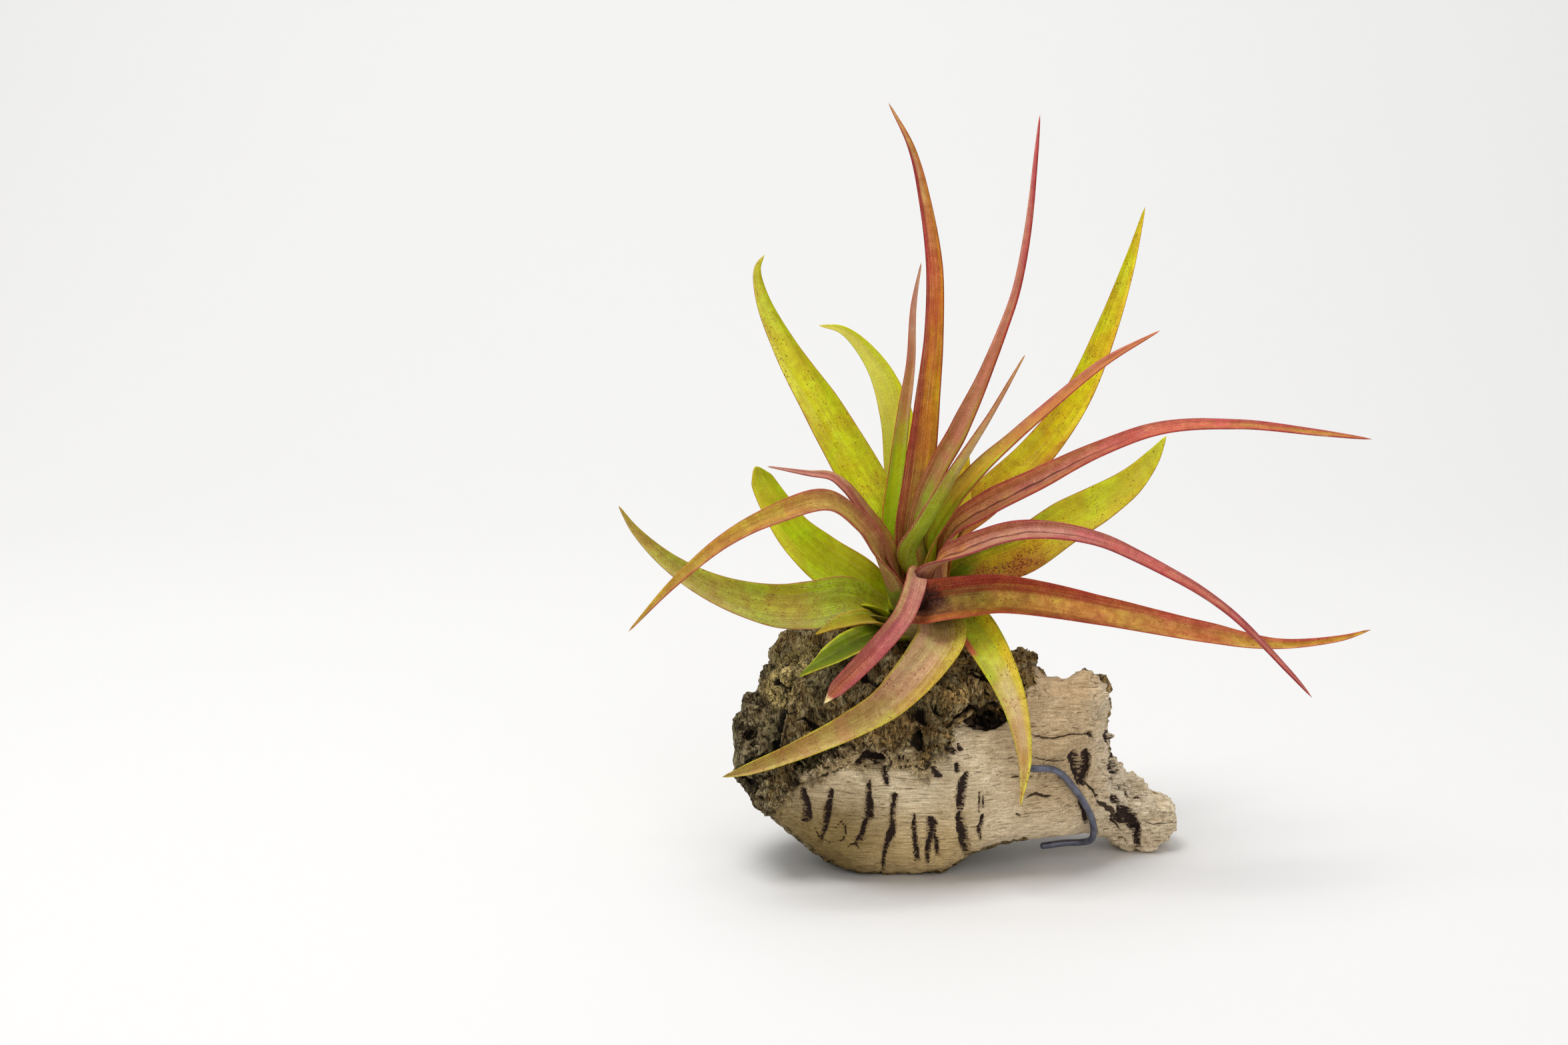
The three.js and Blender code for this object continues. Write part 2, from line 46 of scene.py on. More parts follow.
import bpy
import numpy as np
from bpy.props import FloatProperty, FloatVectorProperty, PointerProperty
from bpy.types import Operator, Panel, PropertyGroup
from mathutils import Vector

bl_info = {
    "name": "Air plant on cork bark",
    "version": (1, 0, 0),
    "blender": (4, 5, 0),
    "location": "View3D > Sidebar > Air plant",
    "description": "Leaves, stem, cork bark, wire and a plain stage for an air plant",
    "category": "Add Mesh",
}

BODY = "root"
MM = 0.001

# The front view that the leaves' routes are read in, in millimetres from the origin.
EYE_DISTANCE = 871.0
EYE_RISE = math.radians(12.0)
EYE_ACROSS = -29.3
EYE_UP = 86.0
ACROSS = np.array([1.0, 0.0, 0.0])
BACKWARD = np.array([0.0, 1.0, 0.0])
SIGHT = np.array([0.0, math.cos(EYE_RISE), -math.sin(EYE_RISE)])
VIEW_UP = np.array([0.0, math.sin(EYE_RISE), math.cos(EYE_RISE)])
EYE = ACROSS * EYE_ACROSS + VIEW_UP * EYE_UP - SIGHT * EYE_DISTANCE

# The stem, and where the leaves stand on it, as in the construction.
STEM_FOOT = np.array([2.5, 7.0, 54.0])
STEM_TOP = np.array([5.0, 4.0, 76.0])
STEM_FOOT_RADIUS = 4.6
STEM_TOP_RADIUS = 1.6
# The stem's radius at shares of its length: the shares, then the radii.
STEM_PROFILE = ((0.0, 0.05, 0.35, 0.85, 1.0), (
    0.8 * STEM_FOOT_RADIUS, 0.95 * STEM_FOOT_RADIUS, 0.86 * STEM_FOOT_RADIUS,
    0.95 * STEM_TOP_RADIUS, 0.3))
STEM_TURNS = 9.0                  # rings of old leaf feet on it
FOOT_HIGH, FOOT_LOW = 0.80, 0.14  # the youngest and the oldest leaf, as shares of its length
FOOT_NEAR, FOOT_FAR = 2.6, 8.4    # and how far from its middle line

# A leaf: how deep its channel is at the foot, as a share of the width, the share of its length that
# clasps the stem, and the share of the channel's depth that the midrib lies below the route.
CLASP = 0.34
CLASP_SHARE = 0.24
HOLLOW_MIDDLE = 0.4
TIP_WIDTH = 0.35            # of a pointed blade
POINTED_CLOSING, BLUNT_CLOSING = 0.985, 0.93    # where a tip starts to close, as a share of the length
WIDTH_STEPS, WIDTH_WINDOW = 241, 27             # samples of the width, and how many even out a place
WAVE_LENGTH = 16.0          # of the margins' waves
WAVE_WIDTH = 9.0            # narrower blades wave less
KEEL_WIDTH = 8              # narrower blades have less of a keel under the midrib

# How finely the surfaces are worked out.
LEAF_STATIONS = 132
LEAF_RING = 44
CORK_ALONG = 344
CORK_AROUND = 280
CORK_FRONT_BIAS = 0.5       # how much closer the cork's points stand at its front than at its back
STEM_RINGS = 60
STEM_SIDES = 64
WIRE_RINGS = 300
WIRE_SIDES = 18


def colour(text):
    """The linear colour of a #RRGGBB text: each channel is taken out of the screen's curve."""
    channels = [int(text[i:i + 2], 16) / 255 for i in (1, 3, 5)]
    return tuple(c / 12.92 if c <= 0.04045 else ((c + 0.055) / 1.055) ** 2.4 for c in channels) + (1.0,)


# The inputs of a blade's shader: its colours, its amounts, as they are where a look gives none, and
# where its rim, foot and tip are.
TINT_COLOURS = ("Near", "Low", "High", "Far", "Left Near", "Left Far", "Right Near", "Right Far",
                "Rim", "Foot", "Tip")
TINT_AMOUNTS = {"Streak": 0.8, "Mottle": 0.8, "Freckle": 0.3, "Scales": 0.12, "Stain": 0.0,
                "Crease": 0.0, "Blush": 0.0}
TINT_PLACES = ("Rim Width", "Foot End", "Tip Start")
TINT_RESULTS = ("Color", "Roughness", "Height")
# Ends that lie off the blade, for a look without a foot or tip colour.
NO_FOOT_END = -0.2
NO_TIP_START = 1.2


def look(middle, left, right, rim, rim_width, foot=None, tip=None, **amounts):
    """The shader inputs of a blade.

    middle: its colours along the midrib, at four shares of its length. left and right: those on
    either half of it, near the foot and far from it. rim: that of its margins. foot and tip: a colour
    and the share of the length that it ends or begins at. The amounts say how strongly those show.
    """
    foot, foot_end = foot or (rim, NO_FOOT_END)
    tip, tip_start = tip or (rim, NO_TIP_START)
    inputs = dict(zip(TINT_COLOURS, " ".join([middle, left, right, rim, foot, tip]).split()))
    inputs.update({label: amounts.get(label.lower(), usual) for label, usual in TINT_AMOUNTS.items()})
    inputs.update(zip(TINT_PLACES, (rim_width, foot_end, tip_start)))
    return inputs


LOOKS = {
    "thin": look(
        "#96C008 #B8C40E #C08850 #D4A898", "#A4C408 #C88C70", "#B0D010 #D4A480", "#A8502E", 0.10,
        streak=0.6, mottle=0.5),
    "sheen": look(
        "#94B408 #9CB024 #C0A078 #B87C68", "#7C9428 #A8847A", "#A4BC10 #CC9C68", "#A45444", 0.07,
        streak=0.9, scales=0.45),
    "crimson": look(
        "#8E9C24 #BC7C60 #B47660 #C05A6C", "#A0683C #CC8C7C", "#A08C2C #BA4E48", "#9A3634", 0.11,
        streak=1.0, scales=0.3),
    "flame": look(
        "#A4783C #BC7C1A #B8603C #C8966A", "#A05038 #A43C44", "#BC9014 #C67E2E", "#8C3020", 0.10,
        streak=1.2, mottle=1.3, scales=0.25),
    "ember": look(
        "#C0DC14 #D4B43A #C68450 #AE6648", "#CCB83C #BC7668", "#C0E020 #C0804E", "#A8443C", 0.13,
        streak=0.8, mottle=0.7),
    "heart": look(
        "#8CB404 #A8BC0C #BCB418 #D0BE28", "#9CB808 #BCB810", "#B0CC0A #CCC42C", "#B0702C", 0.08,
        streak=0.7),
    "blossom": look(
        "#9A6838 #AC7050 #B46A62 #B87E78", "#905C38 #AC706A", "#A48030 #BC9070", "#9A4844", 0.12,
        streak=1.0, scales=0.3),
    "straw": look(
        "#A8B41C #C4C228 #D0D048 #D8D05C", "#BCC034 #D2D058", "#ACB420 #D0D42A", "#B8A040", 0.05,
        streak=0.4, mottle=0.4),
    "petal": look(
        "#BC9C8C #AE726C #A8565E #A2543E", "#AE766E #A04E54", "#BEA072 #A25E54", "#94343E", 0.10,
        tip=("#F4E2B4", 0.955), streak=0.9, mottle=1.2, scales=0.6),
    "arch": look(
        "#D09C58 #C87C74 #C26458 #B8803E", "#B06842 #B05454", "#C08054 #BC6C54", "#9E3238", 0.14,
        streak=0.9, mottle=1.3, freckle=0.6, scales=0.35, crease=0.9),
    # The bow's foot colour is painted shade: near its foot the sheath's underside is painted almost
    # black, as the shade under the next leaf's edge.
    "bow": look(
        "#B06E3C #B47674 #B85C5E #BC746A", "#8E4834 #A0545A", "#B07A6C #A44848", "#922A3C", 0.13,
        foot=("#3A1A0E", 0.07), streak=0.9, mottle=1.2, scales=0.45, crease=0.9),
    "copper": look(
        "#A0744A #B08C4C #AC8838 #A8883C", "#A8884C #AC7A44", "#9C6244 #BC9C38", "#9E4840", 0.11,
        foot=("#7C8A1A", 0.12), streak=0.9, mottle=1.3, freckle=0.7, scales=0.3),
    "leaf": look(
        "#A8881E #BCA40C #CCC00E #CECA28", "#B8A014 #BEB80C", "#A8701E #E0CC2E", "#A0602C", 0.05,
        streak=0.7, mottle=1.0, freckle=0.9),
    "broad": look(
        "#98A800 #B6B608 #C4C022 #C8C842", "#B0B808 #CCC44C", "#B0B008 #AAAC0E", "#A0683C", 0.04,
        streak=0.7, mottle=0.9, freckle=0.9),
    # The fire leaf's near colour and foot colour are painted shade: the inside of its channel at the
    # foot, painted black to dark brown.
    "fire": look(
        "#3C160A #D4AC52 #B87A48 #B08C26", "#983A1C #C06850", "#9C5C26 #C09256", "#A04432", 0.12,
        foot=("#280C06", 0.15), streak=0.5, mottle=1.8, freckle=0.9, scales=0.25),
    # The stained leaf's dark olive near colour is painted shade over the part of it near the foot.
    "stained": look(
        "#627A00 #C0AC0C #B8B81A #BCBA36", "#889004 #BEBE24", "#AC8818 #C0B628", "#96642C", 0.045,
        streak=0.5, mottle=0.8, freckle=0.9, stain=1.0),
    "folded": look(
        "#A0AC00 #A4B400 #A8BC04 #B8BE20", "#9CAC00 #C8C830", "#ACB200 #ACC004", "#B08C24", 0.05,
        streak=0.6),
    "olive": look(
        "#8A9408 #A09C34 #989038 #A49440", "#94943C #B0A85C", "#98A408 #A09C34", "#9C683C", 0.05,
        streak=0.8, mottle=1.1, freckle=0.9, scales=0.35),
    "spotted": look(
        "#98A800 #C0BC30 #D0BC8C #BE9C54", "#DCCA12 #DACC5A", "#9CB800 #C8AC68", "#B4B01C", 0.10,
        streak=0.5, mottle=0.9, freckle=1.2, scales=0.35, blush=1.0),
    "tan": look(
        "#A89650 #C8AC80 #A88850 #84682C", "#B4A430 #BCA068", "#D0B088 #947434", "#B4A42C", 0.10,
        streak=0.9, mottle=1.2, freckle=0.9, scales=0.6),
    "rust": look(
        "#707008 #8A7C04 #9C9014 #A49424", "#B4A428 #B8A03C", "#7C7E08 #969418", "#B08830", 0.14,
        freckle=0.8),
    "moss": look(
        "#4A5602 #505E02 #5A6E04 #687808", "#7C8418 #787A1A", "#748604 #6E8206", "#C0C038", 0.13,
        streak=0.8),
    "young": look(
        "#94A404 #A0A80A #A8AC18 #B0AC2C", "#909C04 #B0A02A", "#98A806 #A8AA1C", "#A0682C", 0.05,
        streak=0.6, freckle=0.7),
}

# A leaf: its look, the way its upper side faces, the sheath's width, how deep its channel is as a
# share of the width, its crease (2 is a round channel, less is a fold along the midrib), its route
# and the share of its length that clasps the stem. A row of the route is a place on the midrib as the
# front view shows it: across, up, how far back it lies, and the blade's width there.
Leaf = namedtuple("Leaf", "look face sheath channel crease route clasp", defaults=[CLASP_SHARE])
# The leaves, from the youngest to the oldest.
LEAVES = [
    Leaf("thin", (0.4, -0.9, 0.1), 5, 0.24, 1.6, [
        (-2.5, 83.5, 7, 5.2), (-1.5, 98, 10, 4.8), (0.5, 114, 13, 3.4), (2.2, 126, 15, 2.4),
        (3, 140, 16, 1.6), (5, 151, 16, 0.8)]),
    Leaf("sheen", (-0.6, 0.5, 0.6), 6, 0.26, 1.6, [
        (2.6, 79, 1, 7.4), (6, 85.5, -2, 7.4), (11, 94.4, -6, 6), (15.6, 102, -9, 4.4),
        (21.6, 111.5, -13, 2.4), (31, 128, -17, 0.8)]),
    Leaf("crimson", (-0.8, -0.6, 0.2), 7, 0.24, 1.5, [
        (4, 84, 3, 6.8), (9, 98, 0, 7), (15, 109, -3, 6.6), (20.5, 121, -5.5, 4.8),
        (26, 135, -7, 3.2), (29, 144, -8, 2.8), (31.7, 158, -8, 2.5), (33.8, 178, -6, 1.3),
        (34.7, 188, -4, 0.8)]),
    Leaf("flame", (-0.3, -1, 0.1), 8, 0.2, 1.5, [
        (2.2, 81, 6, 8), (4.7, 98, 7, 8), (6.9, 118, 8, 6.1), (8.3, 133, 9, 4.9), (8.4, 150, 11, 4.3),
        (5.9, 167, 12, 3), (2.5, 180, 12, 1.8), (-3.2, 191, 12, 0.8)]),
    Leaf("ember", (-0.5, -0.6, 0.65), 6, 0.24, 1.5, [
        (7.4, 80.7, 1, 6.6), (12.4, 90.2, -1, 7), (18.2, 97.4, -4, 6.2), (26, 105, -7, 4.4),
        (33.9, 112, -10, 3.7), (50.5, 125.7, -13, 2.8), (64.7, 134, -13, 0.8)]),
    Leaf("heart", (-0.3, -1, 0.2), 7, 0.2, 1.8, [
        (10, 81, 9, 7.2), (14.5, 92, 14, 6.8), (16.7, 105, 19, 0.8)]),
    Leaf("blossom", (0.5, -0.6, 0.6), 6, 0.26, 1.5, [
        (-4.3, 81, -1, 5.4), (-10.3, 89.7, -6, 5), (-14.2, 94.8, -9, 3.8), (-17.7, 97.5, -10, 2.6),
        (-23.2, 98.2, -11, 1.6), (-33.5, 100, -13, 0.8)]),
    Leaf("straw", (0.2, -1, 0.2), 9, 0.14, 1.8, [
        (2.2, 83, 12, 8.5), (0.3, 98, 20, 9.5), (-1.7, 114, 27, 8.5), (-6.8, 126, 30, 5.2),
        (-14.5, 134, 29, 2.2), (-20.7, 135.3, 28, 0.8)]),
    Leaf("petal", (0.3, -0.8, 0.6), 8, 0.22, 1.6, [
        (3.8, 72.5, -9, 5.4), (3, 69, -14, 5.4), (0.2, 62.2, -21, 5.2), (-6.8, 53.7, -28, 5),
        (-12.2, 48.2, -31, 4.6), (-16.3, 44.2, -32, 3.8), (-19.2, 40.8, -33, 1.6)]),
    Leaf("arch", (-0.2, -0.5, 0.85), 9, 0.2, 1.35, [
        (12, 83, 0, 8), (22, 90, -3, 9), (34.5, 96.3, -6, 8.4), (49.3, 103.7, -9, 6),
        (65, 109.3, -11, 4.4), (84, 110.3, -11, 3.4), (105, 108.2, -9, 2.2),
        (117.7, 106.8, -8, 0.8)]),
    Leaf("bow", (0, -0.5, 0.85), 9, 0.22, 1.35, [
        (7.7, 75.5, -7, 8), (15.3, 79, -12, 8.4), (25, 82.5, -17, 8), (34.5, 83.7, -21, 6.4),
        (49.3, 81.3, -26, 4.8), (65, 74.2, -30, 3.8), (81, 64.3, -33, 2.6), (97, 48.5, -34, 1.6),
        (102.7, 42.2, -34, 0.8)]),
    Leaf("copper", (0.1, -0.6, 0.8), 8, 0.22, 1.5, [
        (-5.8, 79, -9, 7.5), (-10.3, 85.5, -13, 7.2), (-19, 91, -19, 7), (-31.7, 87.5, -25, 5.8),
        (-44.3, 81, -29, 4), (-57, 70.5, -32, 2.4), (-68.2, 58.7, -33, 0.8)]),
    Leaf("leaf", (-0.3, -0.95, 0.3), 10, 0.12, 1.7, [
        (11, 82, 10, 9), (21.3, 92, 16, 9.4), (33, 102.5, 22, 9.2), (43.5, 116.5, 25, 7.6),
        (51.3, 134, 27, 5.6), (57, 150.5, 29, 3.2), (61, 165, 30, 0.8)]),
    Leaf("broad", (0.4, -0.95, 0.1), 11, 0.12, 1.7, [
        (-3, 85, 10, 11), (-10.7, 98.3, 16, 12.2), (-19.7, 114, 22, 10.4), (-29.3, 130, 27, 6.4),
        (-34.8, 142, 29, 3.6), (-36, 149.5, 30, 1.8), (-34.2, 153, 31, 0.8)]),
    Leaf("fire", (0, -0.75, 0.65), 11, 0.26, 1.9, [
        (6, 65, -10.5, 12), (22, 67.2, -12, 10.8), (34.5, 66.3, -15, 9.4), (57.3, 61.9, -17, 7.4),
        (78.5, 57.7, -16, 5.6), (94.5, 55.5, -14, 2.8), (110, 57, -12, 1.6),
        (117.5, 59.2, -11, 0.8)], 0.12),
    Leaf("stained", (-0.3, -0.85, 0.4), 11, 0.12, 1.8, [
        (14.4, 72, 8, 12.2), (31, 79, 12, 12), (41.3, 86, 15, 11.6), (49.3, 90.5, 17, 10.2),
        (57.3, 96, 18, 7.6), (62.7, 102, 19, 4.4), (66.3, 107.7, 20, 0.8)]),
    Leaf("folded", (0.4, -0.9, 0.2), 12, 0.12, 1.8, [
        (-11.7, 71.5, 11, 13), (-20.5, 77.5, 14, 12), (-27, 83.5, 16, 9.8), (-31.2, 89.7, 18, 8.4),
        (-34.5, 95.5, 19, 6.6), (-36.5, 100, 19, 4.4)]),
    Leaf("olive", (0.1, -0.85, 0.5), 12, 0.14, 1.8, [
        (-12.5, 66.3, 3, 12.5), (-22.7, 65, 2, 12.6), (-32, 65, 2, 11.4), (-46.5, 69.3, 2, 7.4),
        (-58, 76, 4, 4.6), (-66.5, 84, 6, 2.2), (-70.7, 90.2, 6, 0.8)]),
    Leaf("spotted", (-0.2, -0.6, 0.75), 10, 0.16, 1.7, [
        (14, 63, -4, 10), (18.5, 59.3, -10, 10), (23.5, 51.5, -17, 8.6), (28.5, 40, -23, 6),
        (31, 26.2, -26, 3.2), (29.8, 15, -26, 0.8)]),
    Leaf("tan", (-0.1, -0.8, 0.6), 11, 0.16, 1.7, [
        (8.5, 62, -7, 11), (10.2, 57.5, -14, 12), (7, 52, -19.5, 11.4), (1.8, 45.7, -24, 10.2),
        (-5.2, 39.3, -28, 8.4), (-22.7, 30.2, -33, 5.5), (-38, 24.2, -34, 3),
        (-44.8, 22.3, -34, 0.8)]),
    Leaf("rust", (0, -0.4, 1), 8, 0.2, 1.7, [
        (-8, 62, -4, 6.4), (-15, 60.7, -6, 5), (-21.5, 58, -7, 0.8)]),
    Leaf("moss", (0, -0.3, 1), 9, 0.22, 1.7, [
        (-6, 57.6, -8, 8.8), (-12, 55.2, -13, 9.2), (-18, 51.8, -17, 7.2), (-25.5, 47.5, -19, 0.8)]),
    Leaf("young", (0, -0.6, 1), 9, 0.18, 1.7, [
        (6, 84, 20, 9), (8, 90, 32, 8), (8, 90, 45, 6.4), (8, 84, 58, 4), (8, 74, 70, 0.8)]),
    Leaf("young", (-0.4, -0.6, 0.8), 10, 0.16, 1.7, [
        (22, 77, 24, 9), (32, 79, 34, 8), (41, 86, 44, 6), (48, 89.5, 53, 3.6), (53, 92.5, 61, 0.8)]),
    Leaf("young", (0.4, -0.6, 0.8), 10, 0.16, 1.7, [
        (-11, 73, 24, 9), (-19, 77, 36, 8), (-26, 82, 46, 5.4), (-31, 89, 55, 0.8)]),
    Leaf("young", (0, 0, 1), 10, 0.16, 1.7, [
        (3, 65, 24, 10), (0, 59, 36, 9), (-5, 48, 45, 6.4), (-12, 34, 51, 0.8)]),
]

# The cork, as in the construction. A row is a cut across it: where it is along X, its top, bottom,
# front and back. A bottom below 0 is levelled at 0.
CORK_ROWS = np.array([
    (-41.5, 33, 27, 0, 8), (-40.5, 36, 23, -5, 14), (-37, 40.5, 17, -10, 20), (-33, 46, 13, -13, 25),
    (-28.5, 52.5, 9, -15, 28), (-24, 55, 5, -17, 30), (-18, 56.6, 0, -19, 31), (-11, 58, -3, -20, 32),
    (0, 57.4, -3.5, -20, 33), (10, 55.6, -3, -20, 33), (17, 53, 2, -19, 32), (25, 50, 5, -17, 31),
    (30, 49.5, 5.8, -15, 30), (32.5, 49.5, 5.8, -14, 30), (34, 46.5, 5.8, -13, 29),
    (41, 45.5, 6, -10, 28), (46, 48.5, 6, -7, 28), (50, 46.5, 4.6, -3, 28), (52, 43.2, 3.4, 1, 28),
    (52.8, 35.6, 2.4, 3, 28), (53.8, 25.4, 0.8, 5, 29), (58, 20.2, -1.4, 7, 29),
    (64, 15.8, -1.2, 8.5, 28), (68.5, 11.8, 1.6, 11, 24), (70.3, 8.6, 4.2, 14, 20),
])
CORK_SQUARE_ABOVE = 2.8    # 2 is an ellipse, more is squarer
CORK_SQUARE_BELOW = 2.1
CORK_LUMPS = ((21, 2.4), (9, 2), (4.6, 0.9))        # size and height
# What follows is given as the front view shows it: a place across and a place up.
# Pits and bosses of the front, each with its half width, half height and depth.
CORK_PITS = (
    (19.2, 38.6, 6.6, 4.2, 7), (45.5, 24.6, 2.8, 3.8, 2.5), (56.8, 12.5, 3.2, 6, 2),
    (-14.5, 25.5, 5, 3.5, -2), (-7.5, 26.8, 4, 2.2, 2.2), (32.5, 46.5, 1.8, 4.5, 3.5),
)
# How far the bark stands out over the split face, how wide that step is to either side of the
# line, the line, and how much weaker the lumps are on the split face.
BARK_STEP = 2.6
BARK_LINE_SOFT = 2.5
BARK_LINE = np.array([
    (-45, 12), (-33, 15), (-27, 21.3), (-18.5, 27.5), (-11.2, 29.3), (-3.8, 30), (2.2, 28.3),
    (3.8, 26.3), (7.5, 25), (8.8, 29), (12.2, 29), (13.8, 35), (19, 36), (25, 39), (28.5, 46),
    (33, 50.5), (75, 50.5),
])
SMOOTH_FRONT = 0.6
# The dark slots and knots of the smooth front: each runs from a place with a half width there to
# another, and is that deep.
CORK_SLOTS = (
    (-24.8, 19, 0.6, -23.8, 12, 1.1, 1.2), (-17.8, 18.5, 0.6, -18.6, 12, 0.8, 1.2),
    (-18.6, 12, 0.8, -20.4, 6.2, 0.5, 1.2), (-8.2, 20.5, 0.5, -8, 12.5, 0.9, 1.4),
    (-8.7, 11.6, 0.5, -10.4, 6, 0.9, 1.2), (-1.9, 17.5, 0.8, -2.4, 8, 0.9, 1.5),
    (-2.7, 8, 0.8, -4.2, 3.6, 0.6, 1.3), (-4.2, 3.4, 0.5, -4.6, -1, 0.5, 1),
    (3, 12.8, 0.25, 3.3, 10.4, 0.55, 1), (3.3, 10, 0.6, 3.9, 1.4, 0.6, 1.2),
    (7.3, 11.2, 0.9, 6.4, 1.2, 0.6, 1.4), (8.1, 10.6, 0.7, 9.2, 2.2, 0.4, 1.2),
    (16.4, 23.4, 0.4, 15.4, 20.5, 1.2, 1.2), (15.4, 20.5, 1.2, 14.9, 14.4, 0.7, 1.4),
    (15, 12.6, 0.9, 15.4, 8.6, 1.2, 1.4), (15.4, 8.2, 1.3, 16.8, 2.6, 0.8, 1.4),
    (19.8, 18.6, 0.16, 19.9, 13.2, 0.22, 0.7), (20.7, 18.2, 0.14, 20.8, 14.2, 0.18, 0.6),
    (20.5, 12.6, 0.25, 19.6, 9.2, 0.7, 1), (19.6, 9, 0.6, 19.9, 6.2, 0.25, 0.8),
    (14.2, 25.2, 0.7, 14.2, 24, 0.6, 1), (43.4, 27.4, 1.1, 45.2, 20.8, 0.7, 1.3),
    (46.6, 27.6, 1.2, 46, 20.8, 0.6, 1.3), (44.8, 18.4, 0.6, 46.6, 10.8, 0.7, 0.9),
    (28.8, 12.8, 0.3, 29.8, 12.4, 0.4, 0.5), (-0.8, 27.4, 0.14, 0.1, 24.2, 0.2, 0.8),
    (0.4, 27.6, 0.14, 1.1, 24.6, 0.2, 0.8), (1.4, 27.2, 0.14, 2.1, 25, 0.16, 0.8),
    (56.8, 19.8, 1.1, 60.4, 18.4, 1.3, 1), (53.5, 17, 1, 55.5, 12.5, 2, 1.2),
    (55.8, 13.5, 1.8, 58.8, 9.5, 1.2, 1.2), (58.6, 10, 1.2, 59.2, 4.6, 0.7, 1),
    (47.6, 33.2, 0.6, 48.6, 32.4, 0.6, 1.8), (-10.8, 26.2, 0.6, -8.2, 27.9, 0.9, 1.6),
    (-8.2, 27.9, 1, -5, 27, 0.8, 1.6), (-9, 25.4, 0.2, -6, 25.8, 0.3, 1),
    (-4.4, 24.8, 0.7, -3.6, 20.6, 0.5, 1.2), (8, 24.4, 0.7, 9.3, 22.4, 0.9, 1),
    (11.6, 31.5, 0.4, 13.2, 28.4, 0.5, 1), (14.8, 30.8, 0.25, 15.1, 29.4, 0.5, 0.7),
    (52.4, 36, 0.5, 54, 24, 0.9, 0.9), (28.6, 52, 1, 31, 43, 0.8, 1),
)
# Thin cracks and ledges, sunk and painted dark as shade: points that each runs through, half width and
# depth.
CORK_CRACKS = (
    (((31, 17), (34, 18.2), (38, 17.6)), 0.4, 0.6),
    (((31.5, 33.6), (34, 32.6), (38, 32.5), (42.3, 33.4), (49, 33.2)), 0.2, 0.5),
    (((31.8, 28.2), (34.5, 27.2), (38, 26.6), (42.5, 26.6)), 0.16, 0.3),
    (((-26, 24.5), (-21, 22), (-16, 23.6), (-12.6, 26.6)), 0.22, 0.5),
    (((38, 24), (42, 20.8), (46, 17.5)), 0.14, 0.3),
    (((24, 24.2), (27.5, 22.6), (32, 22.4), (36, 23.6)), 0.14, 0.25),
    (((46.8, 20.8), (50, 17.2), (53, 13), (54.6, 9.6)), 0.42, 0.8),
    (((-16.8, 9.2), (-15.2, 11.2), (-13.8, 9.6), (-14.6, 6.8), (-16.2, 5.6)), 0.2, 0.35),
    (((-13.2, 4.4), (-11.4, 5.4), (-9.8, 4)), 0.3, 0.4),
    (((-22, 9.5), (-20.8, 7), (-17.6, 5.4)), 0.2, 0.35),
    (((60, 11.8), (64, 10.6), (69, 11.2)), 0.12, 0.2),
    (((-29.2, 43), (-31.2, 37), (-32.4, 33), (-34, 28)), 1.5, 2.8),
    (((-38.4, 33), (-37.2, 27.5), (-34, 24.5)), 0.6, 1.4),
    (((-24.2, 38), (-20.8, 35.2), (-17.5, 34.6), (-13.5, 36.6)), 1, 1.6),
    (((-9.5, 49), (-6.5, 46.6), (-2.5, 44)), 1.1, 1.6),
    (((4, 36.5), (2.8, 31.5), (4.6, 27)), 1.1, 1.8),
    (((-14, 43.5), (-12, 39.5), (-13, 36.5)), 0.7, 1.2),
    (((-40, 23.5), (-37, 20.5), (-33.5, 18.5)), 0.6, 1.2),
    (((13, 48.5), (17.5, 49.5), (22, 47), (26, 45.5)), 0.8, 1.4),
    (((-24, 30.5), (-19.5, 32.6), (-14, 31.2)), 0.5, 1.2),
    (((-27.5, 52), (-30, 46), (-28.5, 42)), 0.3, 0.7),
    (((6.5, 50), (9.5, 46.5), (14, 44)), 0.35, 0.8),
)
# The pale wrinkled crust along the upper left edge, and its half width.
CORK_CRUST = ((-31, 43.5), (-28, 49.5), (-23.6, 54.5))
CORK_CRUST_HALF = 3.4
# The hollow under the bark's ledge, sunk and painted dark as shade.
CORK_HOLLOW = np.array([
    (11.8, 36.6), (14.2, 39.6), (17.6, 42.4), (21.8, 43.2), (25.8, 40.6), (27, 36.8), (23.6, 34.6),
    (20.8, 33.6), (17, 35.4), (14.2, 36.4),
])
# The ledges that arch across the hollow, and their half width.
CORK_LEDGES = (
    ((11.4, 37.6), (13.6, 40.4), (17.2, 42.2), (23.4, 42.4)),
    ((14.4, 37.2), (17.2, 39.4), (20.8, 40.4), (25.6, 40)),
)
CORK_LEDGE_HALF = 0.55

# Where the cork's skin changes, each over a range of millimetres: the torn right end and back, the
# end of the split face that breaks into chunks, its worn belly, and its ragged border to the bark.
# What is called BELOW is a height over the bark's line, and so below 0.
TORN_END = (52.5, 55.5)
TORN_BACK, TORN_DEPTH = (30, 34), (18, 10)
CHUNKY_END = (44, 50)
WORN_ACROSS, WORN_BELOW = (2, -14), (-6.5, -1)
BORDER_ACROSS, BORDER_BELOW = (15, 8), (-8, -2)

# The wire's route: out of the stem's foot, through the cork, down its front and under its edge.
WIRE_ROUTE = np.array([
    (2.9, 6.5, 58), (3.4, 7, 51), (9, 3.5, 42), (19, -5, 34.5), (27, -12.8, 29.8),
    (32, -16.6, 30.2), (35.8, -15.4, 29.7), (39.1, -12.4, 27.1), (43.2, -8, 21.2), (45.8, -5.6, 16.6),
    (47.2, -3.2, 13), (47.9, -0.4, 8.6), (47.2, 2, 6.2), (45, 3.6, 5.2), (41, 4, 4.9), (35, 3, 4.4),
])


def unit(v):
    """Vectors scaled to length 1, along the last axis."""
    return v / np.maximum(np.linalg.norm(v, axis=-1, keepdims=True), 1e-12)


